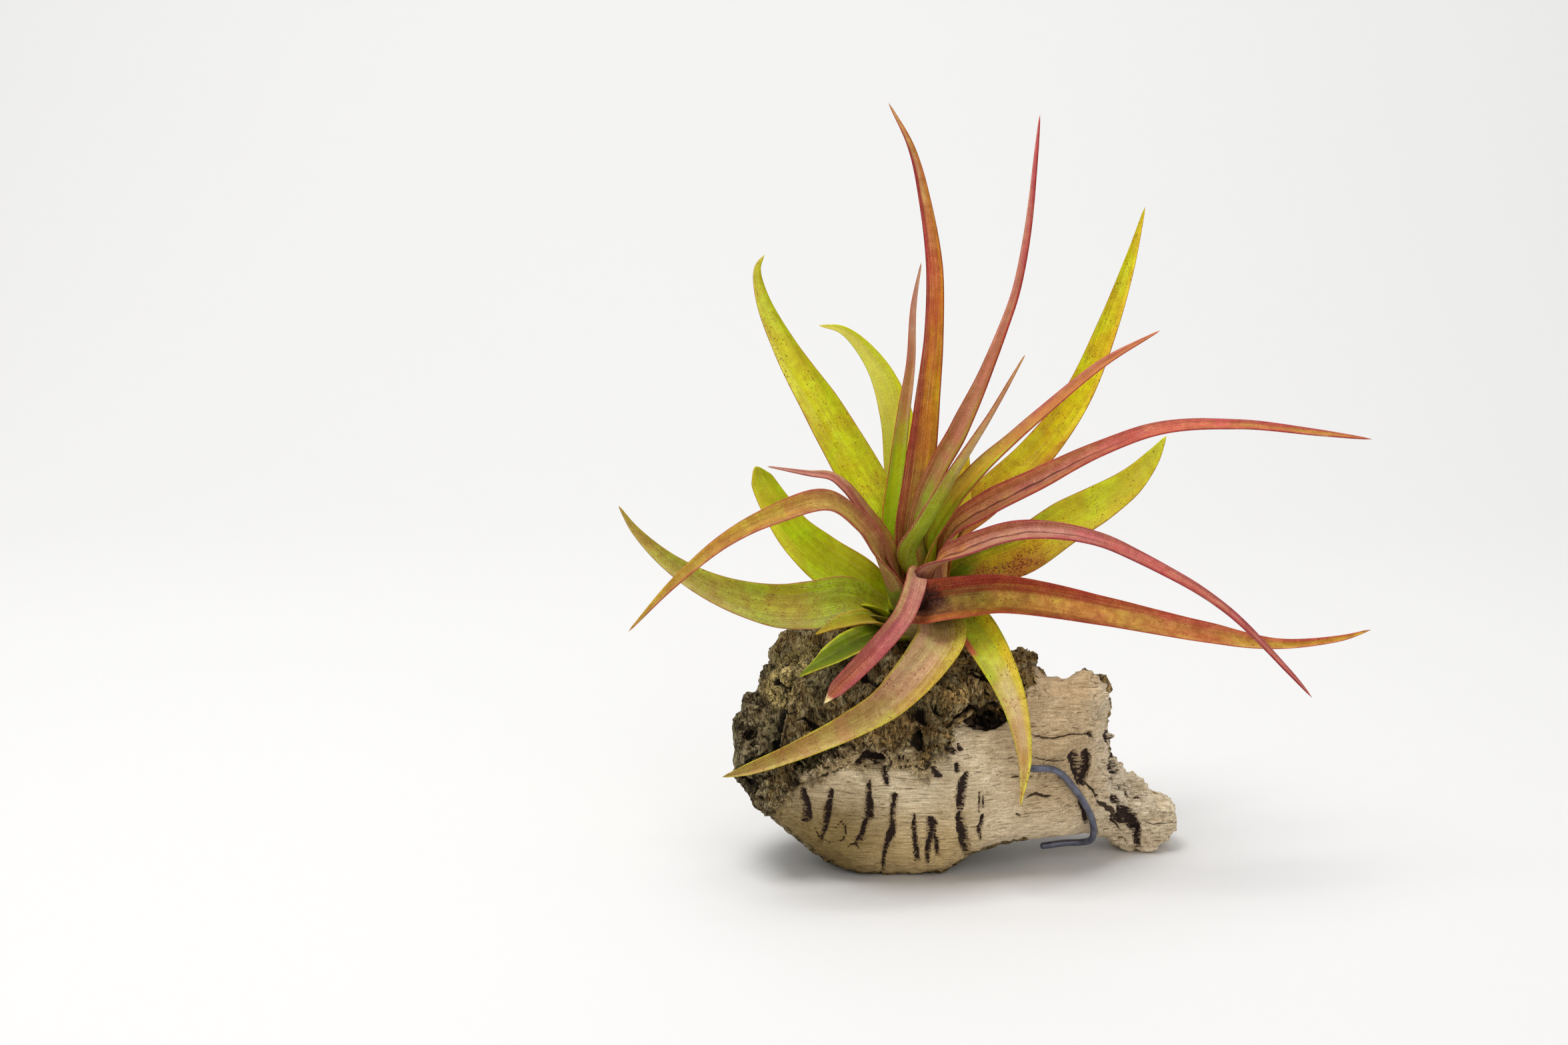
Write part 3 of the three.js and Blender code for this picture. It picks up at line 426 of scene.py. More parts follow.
def smooth(low, high, value):
    """0 below low, 1 above high, and an S-shaped rise between them."""
    t = np.clip((value - low) / (high - low), 0.0, 1.0)
    return t * t * (3.0 - 2.0 * t)


def between(start, end, share):
    """The value at a share of the way from start to end."""
    return start + (end - start) * share


def circle(count):
    """That many angles, evenly round a circle."""
    return np.linspace(0.0, 2.0 * np.pi, count, endpoint=False)


def seen(across, up, back):
    """The point that the front view shows at (across, up), where the sight line is that far back."""
    ray = SIGHT * EYE_DISTANCE + ACROSS * (across - EYE_ACROSS) + VIEW_UP * (up - EYE_UP)
    return EYE + ray * (back - EYE[1]) / ray[1]


def shown(points):
    """Where the front view shows points: across and up."""
    ray = points - EYE
    scale = EYE_DISTANCE / (ray @ SIGHT)
    return EYE_ACROSS + scale * (ray @ ACROSS), EYE_UP + scale * (ray @ VIEW_UP)


def lattice(p):
    """Smooth noise from -1 to 1: hashed values at whole numbers, eased between the eight corners."""
    cell = np.floor(p)
    f = p - cell
    ease = f * f * (3.0 - 2.0 * f)
    total = np.zeros(p.shape[:-1])
    for corner in np.ndindex(2, 2, 2):
        at = cell + np.array(corner)
        value = np.sin(at[..., 0] * 12.9898 + at[..., 1] * 78.233 + at[..., 2] * 37.719) * 43758.5453
        weight = np.prod(np.where(np.array(corner) == 1, ease, 1.0 - ease), axis=-1)
        total += weight * (value - np.floor(value))
    return total * 2.0 - 1.0


def field(point, size, shift=0.0, octaves=2, gain=0.5):
    """Noise of about -1 to 1 over points, with lumps of a size, one number or one for each axis.

    It is summed over octaves, each twice as fine and weaker by gain. The shift sets fields apart.
    """
    p = point / np.array(size) + shift
    total, height = 0.0, 1.0
    for k in range(octaves):
        total = total + height * lattice(p * 2.0 ** k + 17.3 * k)
        height *= gain
    return total * (1.0 - gain) / (1.0 - gain ** octaves)


def moved(point, size, by, shifts):
    """Points moved by up to so many millimetres along each axis, by noises of that size."""
    return point + by * np.stack([lattice(point / size + shift) for shift in shifts], axis=-1)


def terraces(values, soft):
    """Values cut into whole steps. From that share of a step on, it rises to the next."""
    return np.floor(values) + smooth(soft, 1.0, values - np.floor(values))


def veins(values, width):
    """1 where values pass 0, falling to 0 at a width from there."""
    return 1.0 - smooth(0.0, width, np.abs(values))


def reached(points):
    """How far along a run of straight lines each of its points is."""
    return np.concatenate([[0.0], np.cumsum(np.linalg.norm(np.diff(points, axis=0), axis=1))])


def spline(points, samples=1400):
    """A centripetal spline through the points, as (steps, positions, t) with t from 0 to 1.

    Between two points it is the cubic whose end slopes come from the square roots of the distances
    to their neighbours; past each end the curve goes on as it came.
    """
    p = np.vstack([2 * points[0] - points[1], points, 2 * points[-1] - points[-2]])
    gap = np.sqrt(np.linalg.norm(np.diff(p, axis=0), axis=1))
    t = np.linspace(0.0, 1.0, samples)
    place = t * (len(points) - 1)
    i = np.minimum(place.astype(int), len(points) - 2)
    w = (place - i)[:, None]
    x0, x1, x2, x3 = p[i], p[i + 1], p[i + 2], p[i + 3]
    d0, d1, d2 = gap[i][:, None], gap[i + 1][:, None], gap[i + 2][:, None]
    t1 = ((x1 - x0) / d0 - (x2 - x0) / (d0 + d1) + (x2 - x1) / d1) * d1
    t2 = ((x2 - x1) / d1 - (x3 - x1) / (d1 + d2) + (x3 - x2) / d2) * d1
    square = w ** 2 * (-3 * x1 + 3 * x2 - 2 * t1 - t2)
    curve = x1 + w * t1 + square + w ** 3 * (2 * x1 - 2 * x2 + t1 + t2)
    return reached(curve), curve, t


def along_spline(points, shares):
    """Positions, tangents, t and total length at shares of a spline's length."""
    reach, curve, t = spline(points)
    want = shares * reach[-1]
    place = np.stack([np.interp(want, reach, curve[:, k]) for k in range(3)], axis=1)
    slope = np.gradient(curve, reach, axis=0)
    tangent = unit(np.stack([np.interp(want, reach, slope[:, k]) for k in range(3)], axis=1))
    return place, tangent, np.interp(want, reach, t), reach[-1]


def tube_mesh(name, grid, uv, values=None, turned=False):
    """A closed mesh from a grid of rings (stations, ring, 3) in metres, ended in two poles.

    Each ring is joined to the next by quads, and each end ring to its pole by triangles. uv is a
    value pair for each grid point, and values holds named numbers for each, both kept per vertex.
    turned is for rings that run the other way round, so that the faces still look outward.
    """
    stations, ring = grid.shape[:2]
    values = {label: np.broadcast_to(row, (stations, ring)) for label, row in (values or {}).items()}
    if turned:
        grid, uv = grid[:, ::-1], uv[:, ::-1]
        values = {label: row[:, ::-1] for label, row in values.items()}
    points = np.vstack([grid.reshape(-1, 3), grid[0].mean(axis=0), grid[-1].mean(axis=0)])
    s, r = np.meshgrid(np.arange(stations - 1), np.arange(ring), indexing="ij")
    a = s * ring + r
    b = s * ring + (r + 1) % ring
    quads = np.stack([a, b, b + ring, a + ring], axis=-1).reshape(-1, 4)
    edge = np.arange(ring)
    after = (edge + 1) % ring
    last = (stations - 1) * ring
    poles = stations * ring
    fans = np.vstack([np.stack([np.full(ring, poles), after, edge], axis=1),
                      np.stack([np.full(ring, poles + 1), last + edge, last + after], axis=1)])
    corners = np.concatenate([quads.ravel(), fans.ravel()])
    sizes = np.concatenate([np.full(len(quads), 4), np.full(len(fans), 3)])
    starts = np.concatenate([[0], np.cumsum(sizes)[:-1]])
    mesh = bpy.data.meshes.new(name)
    mesh.vertices.add(len(points))
    mesh.vertices.foreach_set("co", points.astype(np.float32).ravel())
    mesh.loops.add(len(corners))
    mesh.loops.foreach_set("vertex_index", corners.astype(np.int32))
    mesh.polygons.add(len(sizes))
    mesh.polygons.foreach_set("loop_start", starts.astype(np.int32))
    mesh.update(calc_edges=True)
    mesh.validate()
    mesh.polygons.foreach_set("use_smooth", np.ones(len(mesh.polygons), dtype=bool))
    flat = np.vstack([uv.reshape(-1, 2), uv[0].mean(axis=0), uv[-1].mean(axis=0)])
    order = np.empty(len(mesh.loops), dtype=np.int32)
    mesh.loops.foreach_get("vertex_index", order)
    mesh.uv_layers.new(name="Surface").data.foreach_set("uv", flat[order].astype(np.float32).ravel())
    for label, row in values.items():
        flat = np.concatenate([row.ravel(), [row[0].mean(), row[-1].mean()]])
        mesh.attributes.new(label, "FLOAT", "POINT").data.foreach_set("value", flat.astype(np.float32))
    return mesh


def place_piece(name, mesh, material, *nodes, slot):
    """A finished piece: its object at the origin, riding on the body and standing for its nodes."""
    piece = bpy.data.objects.new(name, mesh)
    bpy.context.scene.collection.objects.link(piece)
    mesh.materials.clear()
    mesh.materials.append(material)
    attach(piece, BODY)
    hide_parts(*nodes)


# Settings of the panel

def number_setting(label, text, default, low=0.0, **more):
    """A number that isn't below low."""
    return FloatProperty(name=label, description=text, default=default, min=low, **more)


def length_setting(label, text, default, low=0.0):
    """A length in metres."""
    return number_setting(label, text, default, low, subtype="DISTANCE", unit="LENGTH")


def power_setting(label, text, default):
    """The power of a light."""
    return number_setting(label, text, default, unit="POWER")


def colour_setting(label, text, default):
    """A colour without transparency."""
    return FloatVectorProperty(name=label, description=text, size=3, subtype="COLOR",
                               default=default, min=0.0, max=1.0)


# Shader building

class Value:
    """What a node of a shader tree gives out. Arithmetic with it adds the nodes that work it out."""

    def __init__(self, tree, socket):
        self.tree = tree
        self.socket = socket

    def __add__(self, other):
        return math_node("ADD", self, other)

    def __sub__(self, other):
        return math_node("SUBTRACT", self, other)

    def __rsub__(self, other):
        return math_node("SUBTRACT", other, self)

    def __mul__(self, other):
        return math_node("MULTIPLY", self, other)

    def __abs__(self):
        return math_node("ABSOLUTE", self)


def feed(tree, node, inputs):
    """Link a node's inputs to Values, or set them to plain values or to the colours of texts."""
    for key, value in inputs.items():
        if isinstance(value, Value):
            tree.links.new(value.socket, node.inputs[key])
        else:
            node.inputs[key].default_value = colour(value) if isinstance(value, str) else value


def made(tree, kind, output, inputs=None, **settings):
    """The Value that a new node of that kind gives out, with its settings and inputs."""
    node = tree.nodes.new(kind)
    for key, value in settings.items():
        setattr(node, key, value)
    feed(tree, node, inputs or {})
    return Value(tree, node.outputs[output])


def tree_of(*values):
    """The tree that the first Value among these is in."""
    return next(value.tree for value in values if isinstance(value, Value))


def math_node(operation, *values):
    """One step of arithmetic."""
    return made(tree_of(*values), "ShaderNodeMath", 0, dict(enumerate(values)), operation=operation)


def rise(value, low, high, start=0.0, end=1.0):
    """An S-shaped rise from start to end as the value goes from low to high."""
    return made(value.tree, "ShaderNodeMapRange", "Result", {
        "Value": value, "From Min": low, "From Max": high, "To Min": start, "To Max": end,
    }, interpolation_type="SMOOTHSTEP")


def mix(factor, first, second, blend="MIX"):
    """Two colours mixed by a factor."""
    return made(tree_of(factor, first, second), "ShaderNodeMix", 2, {0: factor, 6: first, 7: second},
                data_type="RGBA", blend_type=blend)


def cover(base, *layers):
    """A colour with others laid over it in turn, each by a factor."""
    for factor, layer in layers:
        base = mix(factor, base, layer)
    return base


def tone(base, value, low, high, dark, light):
    """A colour multiplied by one from dark to light, as a value goes from low to high."""
    return mix(1.0, base, mix(rise(value, low, high), (*dark, 1.0), (*light, 1.0)), "MULTIPLY")


def noise(vector, scale, detail=2.0, roughness=0.5, distortion=0.0):
    """Noise around 0.5 at a scale per metre, one number or one for each axis."""
    if isinstance(scale, tuple):
        vector = made(vector.tree, "ShaderNodeMapping", "Vector", {"Vector": vector, "Scale": scale})
        scale = 1.0
    return made(vector.tree, "ShaderNodeTexNoise", "Fac", {
        "Vector": vector, "Scale": scale, "Detail": detail, "Roughness": roughness,
        "Distortion": distortion,
    })


def object_place(tree):
    """Where a point is in its object."""
    return made(tree, "ShaderNodeTexCoord", "Object")


def surface_place(tree):
    """Where a point is on the surface, by the UV map."""
    return made(tree, "ShaderNodeUVMap", "UV", uv_map="Surface")


def part_of(vector, axis):
    """One coordinate of a place."""
    return made(vector.tree, "ShaderNodeSeparateXYZ", axis, {"Vector": vector})


def value_of(tree, label):
    """A number that the mesh holds for each point."""
    return made(tree, "ShaderNodeAttribute", "Fac", attribute_name=label)


def new_material(name):
    """A new material and its tree."""
    material = bpy.data.materials.new(name)
    material.use_nodes = True
    return material, material.node_tree


def feed_surface(tree, inputs, height=None, strength=1.0, distance=0.0):
    """Feed a material's surface, with a bump from a height if there is one."""
    if height is not None:
        inputs["Normal"] = made(tree, "ShaderNodeBump", "Normal", {
            "Height": height, "Strength": strength, "Distance": distance})
    feed(tree, tree.nodes["Principled BSDF"], inputs)


def blade_tint_group():
    """The colour, roughness and relief of a leaf blade.

    The midrib's four colours follow one another along the blade, and each half of it turns to its
    own colours away from the midrib. Fibres run along the blade, and freckles, a stain, a blush and
    pale scales are scattered over it. A crease along the midrib is painted dark as shade.
    """
    group = bpy.data.node_groups.new("Blade tint", "ShaderNodeTree")
    sockets = [(label, "INPUT", "Color") for label in TINT_COLOURS]
    sockets += [(label, "INPUT", "Float") for label in (*TINT_AMOUNTS, *TINT_PLACES)]
    sockets += zip(TINT_RESULTS, ["OUTPUT"] * 3, ("Color", "Float", "Float"))
    for label, side, kind in sockets:
        group.interface.new_socket(label, in_out=side, socket_type=f"NodeSocket{kind}")
    g = {socket.name: Value(group, socket) for socket in group.nodes.new("NodeGroupInput").outputs}
    place = object_place(group)
    surface = surface_place(group)
    share, side, upper = [value_of(group, label) for label in ("share", "side", "upper")]

    drift = noise(place, 190, 3)
    mottle = noise(place, 430, 4, 0.6, 0.4)
    patch = noise(place, 260, 2)
    wash = noise(place, 95, 2, 0.5, 0.6)
    fibre = noise(surface, (45, 2600, 1), 3, 0.6)
    thread = noise(surface, (28, 4400, 1), 2, 0.5)
    band = noise(surface, (18, 760, 1), 3, 0.55)
    speck = noise(surface, (1500, 2600, 1), 1, 0.4)
    grain = noise(surface, (3400, 4200, 1), 2, 0.6)

    shifted = share + rise(drift, 0.3, 0.7, -0.05, 0.05)
    middle = cover(g["Near"], (rise(shifted, 0.12, 0.37), g["Low"]),
                   (rise(shifted, 0.37, 0.62), g["High"]), (rise(shifted, 0.62, 0.90), g["Far"]))
    halfway = rise(shifted, 0.3, 0.7)
    left = mix(halfway, g["Left Near"], g["Left Far"])
    right = mix(halfway, g["Right Near"], g["Right Far"])
    wander = side + rise(band, 0.25, 0.75, -0.22, 0.22)
    base = cover(middle, (rise(wander, -0.2, -0.75), left), (rise(wander, 0.2, 0.75), right))

    ragged = abs(side) + rise(fibre, 0.25, 0.75, -0.03, 0.03)
    margin = rise(ragged, 1.0 - g["Rim Width"] * 1.6, 1.0 - g["Rim Width"] * 0.35)
    base = cover(base, (rise(shifted, g["Foot End"], g["Foot End"] - 0.07), g["Foot"]),
                 (margin * rise(share, 0.04, 0.22, 0.3, 0.9), g["Rim"]),
                 (rise(share, g["Tip Start"], g["Tip Start"] + 0.03), g["Tip"]))

    streaked = tone(base, fibre, 0.28, 0.72, (0.66, 0.62, 0.56), (1.24, 1.21, 1.14))
    streaked = tone(streaked, band, 0.3, 0.7, (0.84, 0.76, 0.70), (1.12, 1.15, 1.06))
    base = cover(base, (g["Streak"] * 0.55, streaked),
                 (rise(thread, 0.58, 0.70) * g["Streak"] * 0.30, "#E0CFA4"))
    clouded = tone(base, mottle, 0.32, 0.68, (0.84, 0.68, 0.58), (1.16, 1.22, 1.10))
    clouded = tone(clouded, wash, 0.36, 0.64, (1.02, 0.80, 0.94), (1.05, 1.22, 0.98))
    base = mix(g["Mottle"] * 0.6, base, clouded)

    line = abs(side + rise(drift, 0.2, 0.8, -0.10, 0.10))
    # The crease is painted shade: a dark line along the midrib's fold, which is also sunk in the
    # relief.
    crease = rise(line, 0.10, 0.02) * g["Crease"]
    crease = crease * rise(shifted, 0.05, 0.12) * rise(shifted, 0.62, 0.40)
    freckle = rise(speck, 0.62, 0.69) * rise(patch, 0.42, 0.60) * g["Freckle"]
    ring = rise(shifted, 0.16, 0.24) * rise(shifted, 0.44, 0.34)
    stain = ring * rise(side, -0.5, 0.3) * g["Stain"]
    blot = stain * rise(speck, 0.46, 0.56, 0.0, 0.9) * rise(mottle, 0.38, 0.50)
    base = cover(base, (crease, "#5A2A22"), (freckle, "#7A3A1C"),
                 (stain * rise(patch, 0.34, 0.60, 0.25, 0.85), "#A05C14"), (blot, "#64280A"),
                 (ring * rise(wander, 0.45, 0.8) * g["Blush"], "#B8603A"))

    base = tone(base, grain, 0.32, 0.68, (0.84, 0.82, 0.80), (1.14, 1.14, 1.13))
    near_foot = rise(share, 0.02, 0.6, 1.0, 0.45)
    underside = rise(upper, 0.2, 0.8, 1.7, 1.0)
    scales = rise(grain, 0.50, 0.72) * (g["Scales"] * near_foot) * underside
    feed(group, group.nodes.new("NodeGroupOutput"), {
        "Color": mix(scales, base, "#DCD8C2"),
        "Roughness": rise(mottle, 0.3, 0.7, 0.48, 0.62) + scales * 0.25,
        "Height": fibre * 0.9 + (band + grain * 0.22) - crease * 2.0,
    })
    return group


def leaf_material(name, inputs, group, settings):
    """A leaf's material: the blade tint with this leaf's colours on a thin, soft-lit skin."""
    material, tree = new_material(name)
    tint = tree.nodes.new("ShaderNodeGroup")
    tint.node_tree = group
    feed(tree, tint, {**inputs, "Scales": inputs["Scales"] * settings.scales})
    tinted, rough, height = [Value(tree, tint.outputs[label]) for label in TINT_RESULTS]
    feed_surface(tree, {
        "Base Color": tinted, "Roughness": rough, "Specular IOR Level": 0.10,
        "Subsurface Weight": 0.18, "Subsurface Radius": (0.9, 0.7, 0.25), "Subsurface Scale": 0.0010,
    }, height, 0.6, settings.vein_height)
    return material


# Leaves

def leaf_widths(leaf, t, share):
    """The blade's width along it: the widths of the route's rows, evened out, and closed at the tip."""
    rows = np.array([leaf.sheath] + [row[3] for row in leaf.route], dtype=float)
    pointed = rows[-1] < 1
    rows[-1] = min(rows[-1], TIP_WIDTH) if pointed else rows[-1]
    steps = np.linspace(0, 1, WIDTH_STEPS)
    fine = np.interp(steps, np.linspace(0, 1, len(rows)), rows)
    kernel = np.hanning(WIDTH_WINDOW) / np.hanning(WIDTH_WINDOW).sum()
    padded = np.pad(fine, WIDTH_WINDOW // 2, mode="reflect", reflect_type="odd")
    width = np.maximum(np.interp(t, steps, np.convolve(padded, kernel, mode="valid")), 0.3)
    closing = POINTED_CLOSING if pointed else BLUNT_CLOSING
    return width * np.sqrt(np.clip((1.0 - share) / (1.0 - closing), 0.0016, 1.0))


def leaf_mesh(name, leaf, age, settings):
    """A leaf: a channelled section carried along its midrib.

    Across the blade at u from -1 to 1 the middle surface lies channel * width * (|u|^crease - 0.4)
    towards the upper side, plus a small wave that grows towards the margins. The skin's two sides
    stand off it by half a thickness that thins to the margins as the root of 1 - u^4.
    """
    points = np.array([seen(*row[:3]) for row in leaf.route])
    axis = unit(STEM_TOP - STEM_FOOT)
    root = STEM_FOOT + (STEM_TOP - STEM_FOOT) * between(FOOT_HIGH, FOOT_LOW, age)
    middle = points[len(points) // 2] - root
    outward = unit(middle - axis * (middle @ axis))
    foot = root + outward * between(FOOT_NEAR, FOOT_FAR, age)
    share = np.linspace(0.0, 1.0, LEAF_STATIONS) ** 0.96
    centre, along, t, length = along_spline(np.vstack([foot, points]), share)
    hold = 1.0 - smooth(0.0, leaf.clasp, share)[:, None]
    face = unit(np.array(leaf.face, dtype=float))
    guide = face * (1.0 - hold) + (axis - outward) * hold
    upper = unit(guide - along * np.sum(guide * along, axis=1, keepdims=True))
    side = np.cross(along, upper)

    # The ring runs from one margin over the upper side to the other and back underneath.
    angle = circle(LEAF_RING)
    u = -np.cos(angle)
    level = np.where(np.sin(angle) >= 0, 1.0, -1.0)
    skin = np.sqrt(np.clip(1.0 - u ** 4, 0.0, 1.0)) * level
    seed = np.full_like(share, 31.7 * (age * 25 + 1))
    wander = np.stack([share * length / WAVE_LENGTH, seed, np.zeros_like(share)], axis=1)
    lean = lattice(wander)[:, None]
    ripple = lattice(wander * np.array([2.1, 1.0, 1.0]) + 5.5)[:, None]
    width = leaf_widths(leaf, t, share)[:, None]
    channel = between(leaf.channel, CLASP, hold)
    bend = channel * width * (np.abs(u) ** between(leaf.crease, 2.0, hold) - HOLLOW_MIDDLE)
    wave = settings.margin_wave / MM * np.minimum(width, WAVE_WIDTH) / WAVE_WIDTH * u ** 2
    wave = wave * (ripple + 0.8 * lean * np.sign(u)) * (1.0 - hold)
    thick = between(settings.foot_thickness, settings.tip_thickness, share[:, None]) / MM
    thick = np.minimum(thick, 0.5 * width + 0.05)
    keel = 0.16 * np.exp(-(u / 0.16) ** 2) * (level < 0) * np.minimum(width, KEEL_WIDTH) / KEEL_WIDTH
    height = bend + wave + skin * thick / 2 - keel
    aside = u * width / 2
    grid = (centre[:, None, :] + side[:, None, :] * aside[..., None]
            + upper[:, None, :] * height[..., None]) * MM
    uv = np.stack(np.broadcast_arrays((share * length * MM)[:, None], aside * MM), axis=-1)
    values = {"share": share[:, None], "side": u, "upper": level > 0}
    return tube_mesh(name, grid, uv, values, turned=True)


class LeafSettings(PropertyGroup):
    """Sizes and finish of the leaves."""

    foot_thickness: length_setting(
        "Foot thickness", "Thickness of a blade at its foot", 0.0012, 0.0002)
    tip_thickness: length_setting("Tip thickness", "Thickness of a blade near its tip", 0.0006, 0.0001)
    margin_wave: length_setting("Margin wave", "How far the margins of a broad blade wave", 0.0004)
    vein_height: length_setting("Vein height", "Height of the fine veins", 0.00012)
    scales: number_setting(
        "Scales", "How strongly the pale scales of the blades show", 0.6, max=1.0, subtype="FACTOR")


def node_slots():
    """The record's material slot of each CAD node."""
    return {part["node"]: part["material_slot"] for part in frame["record"]["subparts"]}


class AIRPLANT_OT_leaves(Operator):
    """Make the leaves of the rosette, one piece each"""

    bl_idname = "airplant.leaves"
    bl_label = "Leaves"

    def execute(self, context):
        settings = context.scene.airplant_leaves
        group = blade_tint_group()
        slots = node_slots()
        materials = {}
        for i, leaf in enumerate(LEAVES):
            node = f"leaf_{i + 1:02d}"
            key = leaf.look
            if key not in materials:
                materials[key] = leaf_material(f"Leaf {key}", LOOKS[key], group, settings)
            mesh = leaf_mesh(f"{node}_blade", leaf, i / (len(LEAVES) - 1), settings)
            place_piece(f"{node}_blade", mesh, materials[key], node, slot=slots[node])
        return {"FINISHED"}


# Stem

def stem_mesh(name):
    """The stem: a cone with overlapping rings of old leaf feet.

    The radius falls from foot to top, with a saw tooth for each ring and an uneven rim on it.
    """
    share = np.linspace(0.0, 1.0, STEM_RINGS)[:, None]
    angle = circle(STEM_SIDES)
    axis = unit(STEM_TOP - STEM_FOOT)
    east = unit(np.cross(np.array([0.0, 1.0, 0.0]), axis))
    north = np.cross(axis, east)
    radius = np.interp(share, *STEM_PROFILE)
    turn = share * STEM_TURNS + 0.35 * np.sin(3 * angle + 2.0) + 0.2 * np.sin(5 * angle)
    tooth = (turn - np.floor(turn)) * 0.35
    fibres = 0.08 * np.sin(41 * angle + 3 * share)
    radius = radius * (0.93 + 0.07 * np.cos(4 * angle + 7 * share)) + (tooth + fibres) * radius / 5
    centre = STEM_FOOT + (STEM_TOP - STEM_FOOT) * share[..., None]
    ring = np.cos(angle)[:, None] * east + np.sin(angle)[:, None] * north
    uv = np.stack(np.broadcast_arrays(share * 0.022, angle * 0.004), axis=-1)
    return tube_mesh(name, (centre + radius[..., None] * ring) * MM, uv)


def stem_material():
    """Dry straw-brown fibres that turn green towards the top."""
    material, tree = new_material("Stem fibre")
    fibre = noise(surface_place(tree), (150, 3200, 1), 4, 0.6)
    light = rise(fibre, 0.3, 0.7)
    base = mix(rise(part_of(object_place(tree), "Z"), 0.056, 0.068),
               mix(light, "#4A3A20", "#A08A54"), mix(light, "#6A7A26", "#A8B04A"))
    feed_surface(tree, {"Base Color": base, "Roughness": 0.8}, fibre, 0.7, 0.0003)
    return material


class AIRPLANT_OT_stem(Operator):
    """Make the short stem that the leaves grow from"""

    bl_idname = "airplant.stem"
    bl_label = "Stem"

    def execute(self, context):
        place_piece("stem_fibre", stem_mesh("stem_fibre"), stem_material(), "stem", slot="stem")
        return {"FINISHED"}


# Cork bark

def cork_rows(along):
    """The rows of the cork's table at shares of the way along it, straight between two rows."""
    reach = reached(CORK_ROWS)
    return [np.interp(along * reach[-1], reach, CORK_ROWS[:, k])[:, None] for k in range(5)]


def cork_base(along, around):
    """The construction's surface of the cork, how much each point faces front, and how calm it is.

    A cut is a squared ellipse between its top, bottom, front and back. Pits and bosses move the
    front in and out, and three sizes of sharp-crested lumps roughen all but the bottom and the ends.
    The bark's step is left to the caller.
    """
    x, top, bottom, front, back = cork_rows(along)
    c, s = np.cos(around), np.sin(around)
    power = np.where(s > 0, 2 / CORK_SQUARE_ABOVE, 2 / CORK_SQUARE_BELOW)
    lean = np.sign(c) * np.abs(c) ** power
    rises = np.sign(s) * np.abs(s) ** power
    y = (front + back) / 2 + lean * (back - front) / 2
    z = (top + bottom) / 2 + rises * (top - bottom) / 2
    point = np.stack(np.broadcast_arrays(x, y, z), axis=-1)
    facing = np.broadcast_to(smooth(0.2, 0.8, -c), y.shape)
    across, up = shown(point)
    for px, pz, wide, high, deep in CORK_PITS:
        point[..., 1] += facing * deep * np.exp(-((across - px) / wide) ** 2 - ((up - pz) / high) ** 2)
    line = np.interp(across, *BARK_LINE.T)
    bark = smooth(line - BARK_LINE_SOFT, line + BARK_LINE_SOFT, up)
    ends = (smooth(0, 0.06, along) * smooth(0, 0.06, 1 - along))[:, None]
    calm = ends * smooth(-1, -0.6, rises)
    outward = unit(np.stack(np.broadcast_arrays(0.0 * x, lean, rises), axis=-1))
    stepped = point - BACKWARD * (facing * BARK_STEP * bark)[..., None]
    lump = sum(height * (0.8 - 2.4 * np.abs(lattice(stepped / size))) for size, height in CORK_LUMPS)
    point = point + outward * (lump * calm * (1 - SMOOTH_FRONT * facing * (1 - bark)))[..., None]
    return point, facing, calm


def to_lines(across, up, lines):
    """The distance of places from a run of straight lines, and the share of the way along it."""
    nearest = np.full(across.shape, 1e9)
    run = np.zeros(across.shape)
    for k, ((ax, az), (bx, bz)) in enumerate(zip(lines[:-1], lines[1:])):
        dx, dz = bx - ax, bz - az
        t = np.clip(((across - ax) * dx + (up - az) * dz) / (dx * dx + dz * dz), 0.0, 1.0)
        far = np.hypot(across - ax - t * dx, up - az - t * dz)
        closer = far < nearest
        nearest = np.where(closer, far, nearest)
        run = np.where(closer, (k + t) / (len(lines) - 1), run)
    return nearest, run


def within(across, up, corners):
    """How far inside an outline each place lies, below 0 outside it."""
    inside = np.zeros(across.shape, dtype=bool)
    for (ax, az), (bx, bz) in zip(corners, np.roll(corners, -1, axis=0)):
        crosses = (az > up) != (bz > up)
        height = np.where(bz == az, 1e-9, bz - az)
        inside ^= crosses & (across < (bx - ax) * (up - az) / height + ax)
    distance, _ = to_lines(across, up, np.vstack([corners, corners[:1]]))
    return np.where(inside, distance, -distance)


def bark_relief(point, warped, crust, wrinkles, crumbs):
    """The outer bark's relief, how open each place is (0 is deep in a cavity), and its ridges.

    It is vertical ridges, furrows and crumbs of noise, with crevices where a coarse noise passes 0,
    all of it stepped in blocks. On the crust the furrows give way to wrinkles.
    """
    ridges = 1.0 - 2.2 * np.abs(field(warped, (3.0, 3.0, 7.5), 5.0, 3, 0.55))
    furrows = 1.0 - 2.6 * np.abs(field(warped, (1.5, 1.5, 5.5), 15.0))
    furrows = furrows * (1.0 - crust) + wrinkles * crust
    blocks = terraces(field(point, (8.0, 8.0, 11.0), 23.0) * 2.6, 0.72)
    crack = veins(field(warped, (6.0, 6.0, 11.0), 9.0), 0.12)
    fine_crack = veins(lattice(warped / 2.4 + 31.0), 0.13)
    relief = 0.7 * ridges + 0.75 * furrows + 0.8 * crumbs - 1.5 * crack - 0.6 * fine_crack - 0.4
    open_share = 0.5 + 0.22 * furrows + 0.25 * crumbs - 0.32 * crack - 0.16 * fine_crack
    return relief + 1.25 * blocks, np.clip(open_share, 0.0, 1.0), ridges


